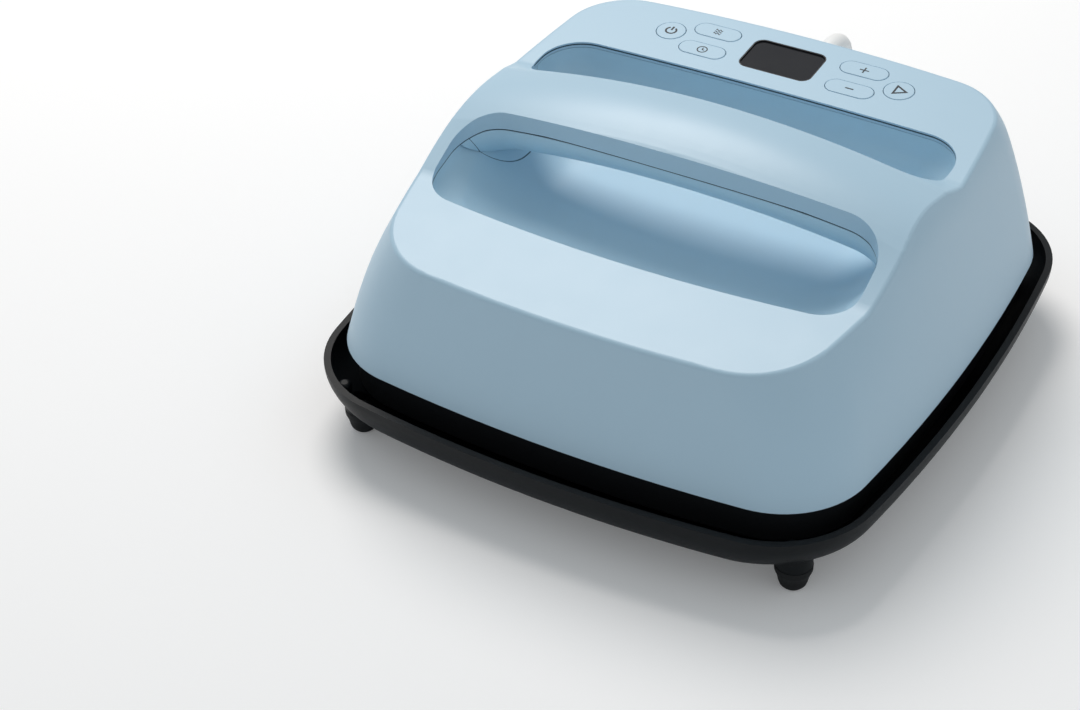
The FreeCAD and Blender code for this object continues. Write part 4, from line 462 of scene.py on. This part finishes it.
def panel_matrix(settings):
    """From the panel's own plane, with its middle at the origin, to the frame."""
    return Matrix.Translation((0, settings.panel_y, settings.panel_z)) \
        @ Matrix.Rotation(math.atan(settings.panel_slope), 4, "X")


# ---------------------------------------------------------------- camera and stage
class PRESS_OT_camera(bpy.types.Operator):
    """Place the camera"""
    bl_idname = "heat_press.camera"
    bl_label = "Camera"

    def execute(self, context):
        view = context.scene.press_view
        azimuth, elevation = view.azimuth, view.elevation
        back = Vector((math.sin(azimuth) * math.cos(elevation),
                       -math.cos(azimuth) * math.cos(elevation), math.sin(elevation)))
        level = (-back).cross(Vector((0, 0, 1))).normalized()
        upright = level.cross(-back)
        right = math.cos(view.roll) * level + math.sin(view.roll) * upright
        up = math.cos(view.roll) * upright - math.sin(view.roll) * level
        data = bpy.data.cameras.new("Camera")
        data.lens = view.lens
        data.sensor_width = 36.0
        data.clip_start = 0.05
        data.clip_end = 50.0
        camera = bpy.data.objects.new("Camera", data)
        matrix = Matrix((right, up, back)).transposed().to_4x4()
        matrix.translation = Vector(view.place)
        camera.matrix_world = matrix
        context.scene.collection.objects.link(camera)
        context.scene.camera = camera
        return {"FINISHED"}


class PRESS_OT_stage(bpy.types.Operator):
    """Make the pale floor, the soft lamps and the even sky"""
    bl_idname = "heat_press.stage"
    bl_label = "Stage"

    floor_half = 5.0
    floor_colour = (0.93, 0.93, 0.93, 1.0)
    floor_lift = 0.11       # light that only the camera sees on the floor
    sky_colour = (0.90, 0.96, 1.0, 1.0)
    lamp_size = 1.15
    lamp_target = (0.0, 0.0, 0.06)

    def execute(self, context):
        view = context.scene.press_view
        self.make_floor(context)
        self.make_sky(context, view.sky)
        self.make_lamp(context, "Key", view.key_power, (1.0, 0.950, 0.910), (-0.78, 0.76, 1.66))
        self.make_lamp(context, "Fill", view.fill_power, WHITE[:3], (1.9, -0.2, 0.8))
        context.scene.view_settings.view_transform = "Standard"
        return {"FINISHED"}

    def make_floor(self, context):
        bm = bmesh.new()
        bmesh.ops.create_grid(bm, x_segments=2, y_segments=2, size=self.floor_half)
        mesh = bpy.data.meshes.new("Floor")
        bm.to_mesh(mesh)
        bm.free()
        material = bpy.data.materials.new("Stage Floor")
        material.use_nodes = True
        tree = material.node_tree
        shader = tree.nodes["Principled BSDF"]
        shader.inputs["Base Color"].default_value = self.floor_colour
        shader.inputs["Roughness"].default_value = 0.9
        shader.inputs["Specular IOR Level"].default_value = 0.1
        shader.inputs["Emission Color"].default_value = WHITE
        seen = add_node(tree, "ShaderNodeLightPath").outputs["Is Camera Ray"]
        lift = math_node(tree, "MULTIPLY", seen, self.floor_lift)
        tree.links.new(lift, shader.inputs["Emission Strength"])
        mesh.materials.append(material)
        floor = bpy.data.objects.new("Floor", mesh)
        context.scene.collection.objects.link(floor)

    def make_sky(self, context, strength):
        world = bpy.data.worlds.new("Studio")
        world.use_nodes = True
        tree = world.node_tree
        light = tree.nodes["Background"]
        light.inputs["Color"].default_value = self.sky_colour
        light.inputs["Strength"].default_value = strength
        backdrop = add_node(tree, "ShaderNodeBackground", Color=WHITE)
        path = add_node(tree, "ShaderNodeLightPath").outputs
        either = math_node(tree, "MAXIMUM", path["Is Camera Ray"], path["Is Transmission Ray"])
        mix = add_node(tree, "ShaderNodeMixShader")
        for source, target in zip((either, light.outputs[0], backdrop.outputs[0]), mix.inputs):
            tree.links.new(source, target)
        tree.links.new(mix.outputs[0], tree.nodes["World Output"].inputs["Surface"])
        context.scene.world = world

    def make_lamp(self, context, name, power, colour, place):
        data = bpy.data.lights.new(name, "AREA")
        data.energy = power
        data.color = colour
        data.shape = "DISK"
        data.size = self.lamp_size
        lamp = bpy.data.objects.new(name, data)
        lamp.location = place
        aim = Vector(self.lamp_target) - Vector(place)
        lamp.rotation_euler = aim.to_track_quat("-Z", "Y").to_euler()
        context.scene.collection.objects.link(lamp)


# ---------------------------------------------------------------- cord
class PRESS_OT_cord(bpy.types.Operator):
    """Lay the mains cord from its boot into a coil and on to the plug"""
    bl_idname = "heat_press.cord"
    bl_label = "Mains Cord"

    exit_point = (0.0040, 0.1647, 0.0891)
    hanging = ((0.0045, 0.1710, 0.0610), (0.0025, 0.1805, 0.0365), (0.0005, 0.1970, 0.0165),
               (0.0005, 0.2180, 0.0070))
    lead = ((-0.1075, 0.2293, 0.0112), (-0.1190, 0.2100, 0.0100), (-0.1450, 0.2020, 0.0100))
    # The coil's turns, from the outside in on the lower layer, then out again on the upper
    # one: degrees, turns out from the innermost one, and layer.
    stations = ((0, 3, 0), (250, 3, 0), (360, 2, 0), (610, 2, 0), (720, 1, 0), (970, 1, 0),
                (1080, 0, 0), (1270, 0, 0), (1390, 0, 1), (1560, 0, 1), (1680, 1, 1),
                (1920, 1, 1), (2040, 2, 1), (2310, 2, 1))

    def coil_points(self, cord):
        """Control points. They lie outside the turn, because the line cuts their corners."""
        step = 360.0 / cord.points_per_turn
        bulge = 1.0 / (0.5 + 0.5 * math.cos(math.radians(step / 2)))
        points = []
        turn = 0.0
        while turn <= self.stations[-1][0] + 1e-6:
            for (low, out0, up0), (high, out1, up1) in zip(self.stations, self.stations[1:]):
                if low <= turn <= high:
                    r0 = cord.inner_radius + out0 * cord.pitch
                    r1 = cord.inner_radius + out1 * cord.pitch
                    z0 = up0 * cord.layer
                    z1 = up1 * cord.layer
                    ease = smooth_step((turn - low) / (high - low))
                    radius = (r0 + (r1 - r0) * ease) * bulge
                    height = cord.low_layer + z0 + (z1 - z0) * ease
                    break
            angle = math.radians(turn)
            points.append((cord.coil_x + radius * math.cos(angle),
                           cord.coil_y + radius * math.sin(angle), height))
            turn += step
        return points

    def execute(self, context):
        cord = context.scene.press_cord
        curve = bpy.data.curves.new("cord_line", "CURVE")
        curve.dimensions = "3D"
        curve.resolution_u = 5
        route = [self.exit_point, *self.hanging, *self.coil_points(cord), *self.lead]
        spline = curve.splines.new("NURBS")
        spline.points.add(len(route) - 1)
        for point, place in zip(spline.points, route):
            point.co = (*place, 1.0)
        spline.order_u = 3
        spline.use_endpoint_u = True
        line = bpy.data.objects.new("cord_line", curve)
        context.scene.collection.objects.link(line)
        path = bpy.data.meshes.new_from_object(line)
        curve.bevel_depth = cord.diameter / 2
        curve.bevel_resolution = 4
        curve.use_fill_caps = True
        context.view_layer.update()
        mesh = bpy.data.meshes.new_from_object(
            line.evaluated_get(context.evaluated_depsgraph_get()))
        bpy.data.objects.remove(line)
        bpy.data.meshes.remove(path)
        mesh.name = "mains_cord"
        mesh.materials.clear()
        mesh.materials.append(cord_material(context))
        for polygon in mesh.polygons:
            polygon.use_smooth = True
        tube = bpy.data.objects.new("mains_cord", mesh)
        context.scene.collection.objects.link(tube)
        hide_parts("power_cord", "cord_coil", "plug_lead")
        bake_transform(tube)
        return {"FINISHED"}


class PRESS_OT_cord_tie(bpy.types.Operator):
    """Hold the coil together with a strap whose end is turned over"""
    bl_idname = "heat_press.cord_tie"
    bl_label = "Cord Tie"

    angle = math.radians(225)
    width = 0.0060
    thickness = 0.0006
    overlap = 0.45          # share of the strap's path that lies double
    clearance = 0.0001      # between the strands and the strap
    stacking = 1.05         # from one layer of the strap to the next, in thicknesses
    facets = 32             # points round each strand

    def around(self, cord, grow):
        """Points round the strands that cross that side of the coil, in its own plane."""
        strands = [(turn * cord.pitch, 0.0) for turn in range(4)]
        strands += [(cord.pitch, cord.layer), (2 * cord.pitch, cord.layer)]
        radius = cord.diameter / 2 + grow
        points = [(cord.inner_radius + out + radius * math.cos(turn * math.tau / self.facets),
                   cord.low_layer + up + radius * math.sin(turn * math.tau / self.facets))
                  for out, up in strands for turn in range(self.facets)]
        return [points[index] for index in convex_hull_2d(points)]

    def execute(self, context):
        cord = context.scene.press_cord
        bm = bmesh.new()
        ring = self.around(cord, self.clearance)
        self.add_strap(bm, ring + ring[:1])
        top = self.around(cord, self.clearance + self.thickness * self.stacking)
        first = max(range(len(top)), key=lambda index: top[index][1])
        top = top[first:] + top[:first]
        self.add_strap(bm, top[:int(len(top) * self.overlap)])
        matrix = Matrix.Translation((cord.coil_x, cord.coil_y, 0)) \
            @ Matrix.Rotation(self.angle, 4, "Z")
        bmesh.ops.transform(bm, verts=bm.verts, matrix=matrix)
        band = plastic("Cord Tie", (0.62, 0.62, 0.61, 1.0), 0.75, Drift=0.05, Grain_Size=0.0006,
                       Grain_Height=0.00006)
        piece("cord_tie", bm, band, "base")
        return {"FINISHED"}

    def add_strap(self, bm, path):
        """A flat strap along a path in the XZ plane, thick to the outside."""
        rows = [[bm.verts.new((x, side * self.width / 2, z)) for x, z in path]
                for side in (-1, 1)]
        faces = [bm.faces.new((rows[0][i], rows[0][i + 1], rows[1][i + 1], rows[1][i]))
                 for i in range(len(path) - 1)]
        centre = Vector((sum(x for x, _z in path), 0, sum(z for _x, z in path))) / len(path)
        face = faces[0]
        face.normal_update()
        if face.normal.dot(face.calc_center_median() - centre) < 0:
            bmesh.ops.reverse_faces(bm, faces=faces)
        bmesh.ops.solidify(bm, geom=faces, thickness=-self.thickness)


def cord_material(context):
    found = bpy.data.materials.get("Cord Sheath")
    if found:
        return found
    return plastic("Cord Sheath", context.scene.press_finish.cord, 0.42, Drift=0.02,
                   Grain_Size=0.0015, Grain_Height=0.00002)


# ---------------------------------------------------------------- keys and display
class PRESS_OT_symbols(bpy.types.Operator):
    """Print the symbols on the six keys"""
    bl_idname = "heat_press.symbols"
    bl_label = "Key Symbols"

    upright = math.pi / 2
    plus_reach = 0.0025     # half the length of the plus sign's bars
    row_pitch = 0.0017      # between two waves of the temperature symbol

    def power(self, bm, stroke):
        add_arc(bm, radius=0.0028, width=stroke * 1.2, start=math.radians(122),
                sweep=math.radians(296))
        add_bar(bm, length=0.0034, width=stroke * 1.2, y=0.0020, turn=self.upright)

    def temperature(self, bm, stroke):
        for row in (-1, 0, 1):
            add_wave(bm, length=0.0041, width=stroke * 0.8, height=0.00045,
                     y=row * self.row_pitch)

    def timer(self, bm, stroke):
        width = stroke * 0.75
        add_arc(bm, radius=0.0026, width=width)
        add_bar(bm, length=0.0016, width=width, y=0.0008, turn=self.upright)
        add_bar(bm, length=0.0013, width=width, x=0.00065, y=-stroke * 0.375)

    def plus(self, bm, stroke):
        width = stroke * 0.9
        add_bar(bm, length=2 * self.plus_reach, width=width)
        for side in (-1, 1):
            length = self.plus_reach - stroke * 0.45
            add_bar(bm, length, width, y=side * (self.plus_reach - length / 2),
                    turn=self.upright)

    def minus(self, bm, stroke):
        add_bar(bm, length=0.0045, width=stroke)

    def start(self, bm, stroke):
        bmesh.ops.create_circle(bm, segments=3, radius=0.0050, cap_ends=True,
                                matrix=Matrix.Rotation(-self.upright, 4, "Z"))
        hollow(bm, thickness=stroke * 1.2)

    def execute(self, context):
        keys = context.scene.press_keys
        ink = plastic("Symbol Ink", context.scene.press_finish.ink, 0.5, Drift=0.03,
                      Grain_Size=0.0005, Grain_Height=0.0)
        places = {
            "power": (-keys.round_x, 0.0), "start": (keys.round_x, 0.0),
            "temperature": (-keys.pill_x, keys.pill_y), "timer": (-keys.pill_x, -keys.pill_y),
            "plus": (keys.pill_x, keys.pill_y), "minus": (keys.pill_x, -keys.pill_y),
        }
        for name in KEYS:
            bm = bmesh.new()
            getattr(self, name)(bm, keys.stroke)
            raise_faces(bm, keys.ink_thickness)
            x, y = places[name]
            bmesh.ops.transform(bm, verts=bm.verts, matrix=panel_matrix(keys)
                                @ Matrix.Translation((x, y, keys.cap_proud)))
            piece(name + "_symbol", bm, ink, name + "_key")
        return {"FINISHED"}


class PRESS_OT_display(bpy.types.Operator):
    """Line the display's recess with a dark ring, painted shade on the recess walls"""
    bl_idname = "heat_press.display"
    bl_label = "Display"

    width = 0.0410
    depth = 0.0270
    corner = 0.0055
    recess = 0.0009
    lining = 0.0006
    sunk = 0.00012          # how far the dark ring of painted shade stays below the panel

    def execute(self, context):
        keys = context.scene.press_keys
        finish = context.scene.press_finish
        bm = bmesh.new()
        bmesh.ops.create_grid(bm, x_segments=1, y_segments=1, size=0.5,
                              matrix=Matrix.Diagonal((self.width, self.depth, 1, 1)))
        bmesh.ops.bevel(bm, geom=bm.verts[:], offset=self.corner, affect="VERTICES", segments=8,
                        profile=0.5, material=-1)
        hollow(bm, self.lining)
        raise_faces(bm, self.recess - self.sunk)
        bmesh.ops.transform(bm, verts=bm.verts, matrix=panel_matrix(keys)
                            @ Matrix.Translation((0, 0, -self.recess)))
        # The near-black ring is painted shade: it darkens the recess walls all round, where shade
        # falls.
        recess_shade = plastic("Display Recess Shade", (0.004, 0.004, 0.006, 1.0), 0.45, Drift=0.02,
                         Grain_Size=0.0008, Grain_Height=0.000005)
        piece("display_recess_shade", bm, recess_shade, "press")
        glass = plastic("Display Window", finish.dark, 0.12, Drift=0.03, Grain_Size=0.02,
                        Grain_Height=0.0, Specular_IOR_Level=0.35)
        finish_nodes(glass, "display_window")
        return {"FINISHED"}


# ---------------------------------------------------------------- fitted mouldings
class PRESS_OT_hand_well(bpy.types.Operator):
    """Draw the hand well's rim out to the openings, and finish the handle's lower half"""
    bl_idname = "heat_press.hand_well"
    bl_label = "Hand Well"

    half_width = 0.1152
    front_y = -0.0840
    rear_y = 0.0660
    floor_z = 0.0880
    rise = 0.0420
    curve = {"end": 0.0420, "front": 0.0260, "rear": 0.0440}
    reach = 0.0160          # how far below its rim the wall starts to turn outwards
    row = 0.0012            # between two rows of faces below the rim
    low_row = 0.0960
    high_row = 0.1180
    shelf_rim = ((-0.120, 0.1063), (RAMP_FRONT, 0.1132))    # depth and height of the joint
    panel_rim = ((0.032, 0.1259), (0.100, 0.1314))
    handle_back = 0.024     # depth at which the joint leaves the handle

    def rim_height(self, x, y):
        """Height of the joint with the housing over a place in the well."""
        camber = HANDLE_CAMBER - math.sqrt(HANDLE_CAMBER ** 2 - x ** 2)
        handle_z = SEAM_HEIGHT - camber
        stations = [*self.shelf_rim, (RAMP_BACK, handle_z), (self.handle_back, handle_z),
                    *self.panel_rim]
        for (near, low), (far, high) in zip(stations, stations[1:]):
            if y <= far:
                return low + (high - low) * (y - near) / (far - near)
        return stations[-1][1]

    def draw_out(self, place):
        """Move a point of the wall outwards, most at the rim and not at all lower down."""
        cosine = 1 - (place.z - self.floor_z) / self.rise
        if cosine <= 0 or cosine >= 1:
            return
        inward = 1 - math.sqrt(1 - cosine ** 2)
        share = 1 - (self.rim_height(place.x, place.y) - place.z) / self.reach
        share = smooth_step(min(max(share, 0.0), 1.0))
        middle = (self.front_y + self.rear_y) / 2
        half_depth = (self.rear_y - self.front_y) / 2
        curve = self.curve["front"] if place.y < middle else self.curve["rear"]
        end = self.curve["end"] * inward
        side = curve * inward
        place.x *= 1 + share * end / (self.half_width - end)
        place.y = middle + (place.y - middle) * (1 + share * side / (half_depth - side))

    def execute(self, context):
        bm = bmesh.new()
        bm.from_mesh(NODES["well_liner"].data)
        bmesh.ops.remove_doubles(bm, verts=bm.verts, dist=1e-6)
        height = self.low_row
        while height < self.high_row:
            bmesh.ops.bisect_plane(bm, geom=bm.verts[:] + bm.edges[:] + bm.faces[:],
                                   plane_co=(0, 0, height), plane_no=(0, 0, 1))
            height += self.row
        for vert in bm.verts:
            self.draw_out(vert.co)
        # The hand well's lighter blue is painted light; it also goes on the liner and the
        # handle's lower half.
        brightened_plastic = plastic("Hand Well Brightened Plastic", context.scene.press_finish.brightened_liner, 0.38, Drift=0.015,
                        **SATIN)
        well = piece("hand_well", bm, brightened_plastic, "press")
        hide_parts("well_liner")
        draw_line(brightened_plastic, once(root_joint_group, "Root Joint"))
        finish_nodes(brightened_plastic, "well_liner", "handle_lower")
        return {"FINISHED"}


class PRESS_OT_feet(bpy.types.Operator):
    """Turn the four rubber feet, each a cup that flares out below the tray"""
    bl_idname = "heat_press.feet"
    bl_label = "Feet"

    foot_x = 0.1200
    foot_y = 0.1305
    profile = ((0.0, 0.0), (0.0036, 0.0), (0.0053, 0.0006), (0.0065, 0.0020), (0.0071, 0.0038),
               (0.0075, 0.0058), (0.0080, 0.0076), (0.0087, 0.0094), (0.0091, 0.0104),
               (0.0092, 0.0133), (0.0040, 0.0133), (0.0040, 0.0137), (0.0025, 0.0153),
               (0.0, 0.0153))

    def execute(self, context):
        bm = bmesh.new()
        for side_x in (-1, 1):
            for side_y in (-1, 1):
                self.turn_foot(bm, Vector((side_x * self.foot_x, side_y * self.foot_y, 0)))
        rubber = plastic("Foot Rubber", (0.010, 0.011, 0.012, 1.0), 0.62, Drift=0.08,
                         Grain_Size=0.0006, Grain_Height=0.00003, Specular_IOR_Level=0.25)
        feet = piece("rubber_feet", bm, rubber, "base")
        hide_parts("base_feet")
        finish_nodes(rubber, "base_feet")
        return {"FINISHED"}

    def turn_foot(self, bm, centre):
        verts = [bm.verts.new(centre + Vector((radius, 0, height)))
                 for radius, height in self.profile]
        edges = [bm.edges.new(pair) for pair in zip(verts, verts[1:])]
        bmesh.ops.spin(bm, geom=verts + edges, cent=centre, axis=(0, 0, 1), angle=math.tau,
                       steps=40, use_merge=True)


# ---------------------------------------------------------------- finishes
class PRESS_OT_housing(bpy.types.Operator):
    """Finish the housing and the key caps"""
    bl_idname = "heat_press.housing"
    bl_label = "Housing"

    def execute(self, context):
        finish = context.scene.press_finish
        housing = plastic("Housing Plastic", finish.housing, 0.36, Drift=0.012, **SATIN)
        draw_line(housing, once(parting_line_group, "Parting Line"))
        key = plastic("Key Plastic", finish.key, 0.40, Drift=0.01, **SATIN)
        finish_nodes(housing, "top_housing")
        finish_nodes(key, *[name + "_button" for name in KEYS])
        return {"FINISHED"}


class PRESS_OT_base(bpy.types.Operator):
    """Finish the tray and its pads, the lower frame, and the cord's nodes with its plug"""
    bl_idname = "heat_press.base"
    bl_label = "Base"

    def execute(self, context):
        finish = context.scene.press_finish
        tray = plastic("Tray Plastic", finish.base, 0.42, Drift=0.06, Grain_Size=0.0009,
                       Grain_Height=0.000035, Specular_IOR_Level=0.2)
        silicone = plastic("Pad Silicone", (0.050, 0.050, 0.053, 1.0), 0.62, Drift=0.05,
                           Grain_Size=0.0008, Grain_Height=0.00004)
        lower = plastic("Frame Plastic", (0.009, 0.010, 0.012, 1.0), 0.46, Drift=0.06,
                        Grain_Size=0.0008, Grain_Height=0.00003)
        brass = metal("Plug Brass", (0.78, 0.66, 0.40, 1.0), 0.24)
        finish_nodes(tray, "base_tray")
        finish_nodes(silicone, "base_pads")
        finish_nodes(lower, "lower_frame")
        finish_nodes(cord_material(context), "cord_boot", "inner_cord", "mains_plug",
                     "power_cord", "cord_coil", "plug_lead")
        finish_nodes(brass, "plug_pins")
        return {"FINISHED"}


class PRESS_OT_heater(bpy.types.Operator):
    """Finish the heating plate and what is stacked on it"""
    bl_idname = "heat_press.heater"
    bl_label = "Heater"

    def execute(self, context):
        finish = context.scene.press_finish
        coated = plastic("Non-stick Coating", finish.plate, 0.48, Drift=0.05, Grain_Size=0.0010,
                         Grain_Height=0.00003, Metallic=0.6)
        sheet = metal("Galvanised Sheet", finish.steel, 0.34, Streak=0.35)
        drawn = metal("Element Sheath", (0.50, 0.48, 0.45, 1.0), 0.30)
        zinc = metal("Zinc Screw", (0.62, 0.62, 0.63, 1.0), 0.28)
        fibre = plastic("Needled Fibre", (0.80, 0.78, 0.73, 1.0), 0.92, Drift=0.10,
                        Grain_Size=0.0020, Grain_Height=0.00040)
        finish_nodes(coated, "heat_plate")
        finish_nodes(drawn, "heating_element")
        finish_nodes(sheet, "heater_cover", "heat_shield", "plate_standoffs", "chassis_plate")
        finish_nodes(zinc, "plate_screws", "housing_screws", "liner_screws", "handle_screws",
                     "board_screws", "board_pillars")
        finish_nodes(fibre, "insulation_blanket")
        return {"FINISHED"}


class PRESS_OT_electronics(bpy.types.Operator):
    """Finish the boards and the parts on them"""
    bl_idname = "heat_press.electronics"
    bl_label = "Electronics"

    def execute(self, context):
        finish = context.scene.press_finish
        fine = {"Drift": 0.06, "Grain_Size": 0.0007, "Grain_Height": 0.00002}
        mask = plastic("Solder Mask", finish.board, 0.38, **fine)
        black = plastic("Moulded Black", (0.020, 0.020, 0.022, 1.0), 0.50, **fine)
        sleeve = plastic("Shrink Sleeve", (0.020, 0.024, 0.050, 1.0), 0.30, **fine)
        white = plastic("Terminal White", (0.72, 0.72, 0.69, 1.0), 0.50, **fine)
        grey = plastic("Ribbon Grey", (0.38, 0.39, 0.41, 1.0), 0.45, **fine)
        braid = plastic("Braided Sleeve", (0.62, 0.60, 0.55, 1.0), 0.85, Drift=0.12,
                        Grain_Size=0.0006, Grain_Height=0.00012)
        cell = plastic("Display Cell", (0.055, 0.065, 0.070, 1.0), 0.15, **fine)
        sink = metal("Extruded Sink", (0.74, 0.74, 0.76, 1.0), 0.36)
        finish_nodes(mask, "control_board", "power_board")
        finish_nodes(black, "thermistor", "thermal_fuse", "tact_switches", "relay", "transformer")
        finish_nodes(sleeve, "capacitors")
        finish_nodes(white, "terminal_blocks", "ribbon_connectors",
                     *[name + "_plunger" for name in KEYS])
        finish_nodes(grey, "ribbon_cable")
        finish_nodes(braid, "heater_leads")
        finish_nodes(cell, "display_module")
        finish_nodes(sink, "heat_sink")
        return {"FINISHED"}


OPERATORS = (PRESS_OT_camera, PRESS_OT_stage, PRESS_OT_cord, PRESS_OT_cord_tie,
             PRESS_OT_housing, PRESS_OT_hand_well, PRESS_OT_base, PRESS_OT_feet,
             PRESS_OT_symbols, PRESS_OT_display, PRESS_OT_heater, PRESS_OT_electronics)


class PRESS_PT_sidebar(bpy.types.Panel):
    """Shows a button for each of the press's steps, and its settings, in the sidebar"""
    bl_idname = "PRESS_PT_sidebar"
    bl_label = "Heat Press"
    bl_space_type = "VIEW_3D"
    bl_region_type = "UI"
    bl_category = "Heat Press"

    def draw(self, context):
        column = self.layout.column()
        for operator in OPERATORS:
            column.operator(operator.bl_idname)
        for name, group in SETTINGS.items():
            box = self.layout.box()
            for label in group.__annotations__:
                box.prop(getattr(context.scene, name), label)


CLASSES = tuple(SETTINGS.values()) + OPERATORS + (PRESS_PT_sidebar,)


def register():
    for kind in CLASSES:
        bpy.utils.register_class(kind)
    for name, group in SETTINGS.items():
        setattr(bpy.types.Scene, name, PointerProperty(type=group))


def unregister():
    for name in SETTINGS:
        delattr(bpy.types.Scene, name)
    for kind in reversed(CLASSES):
        bpy.utils.unregister_class(kind)


def main():
    register()
    for operator in OPERATORS:
        folder, name = operator.bl_idname.split(".")
        getattr(getattr(bpy.ops, folder), name)()


if __name__ == "__main__":
    main()
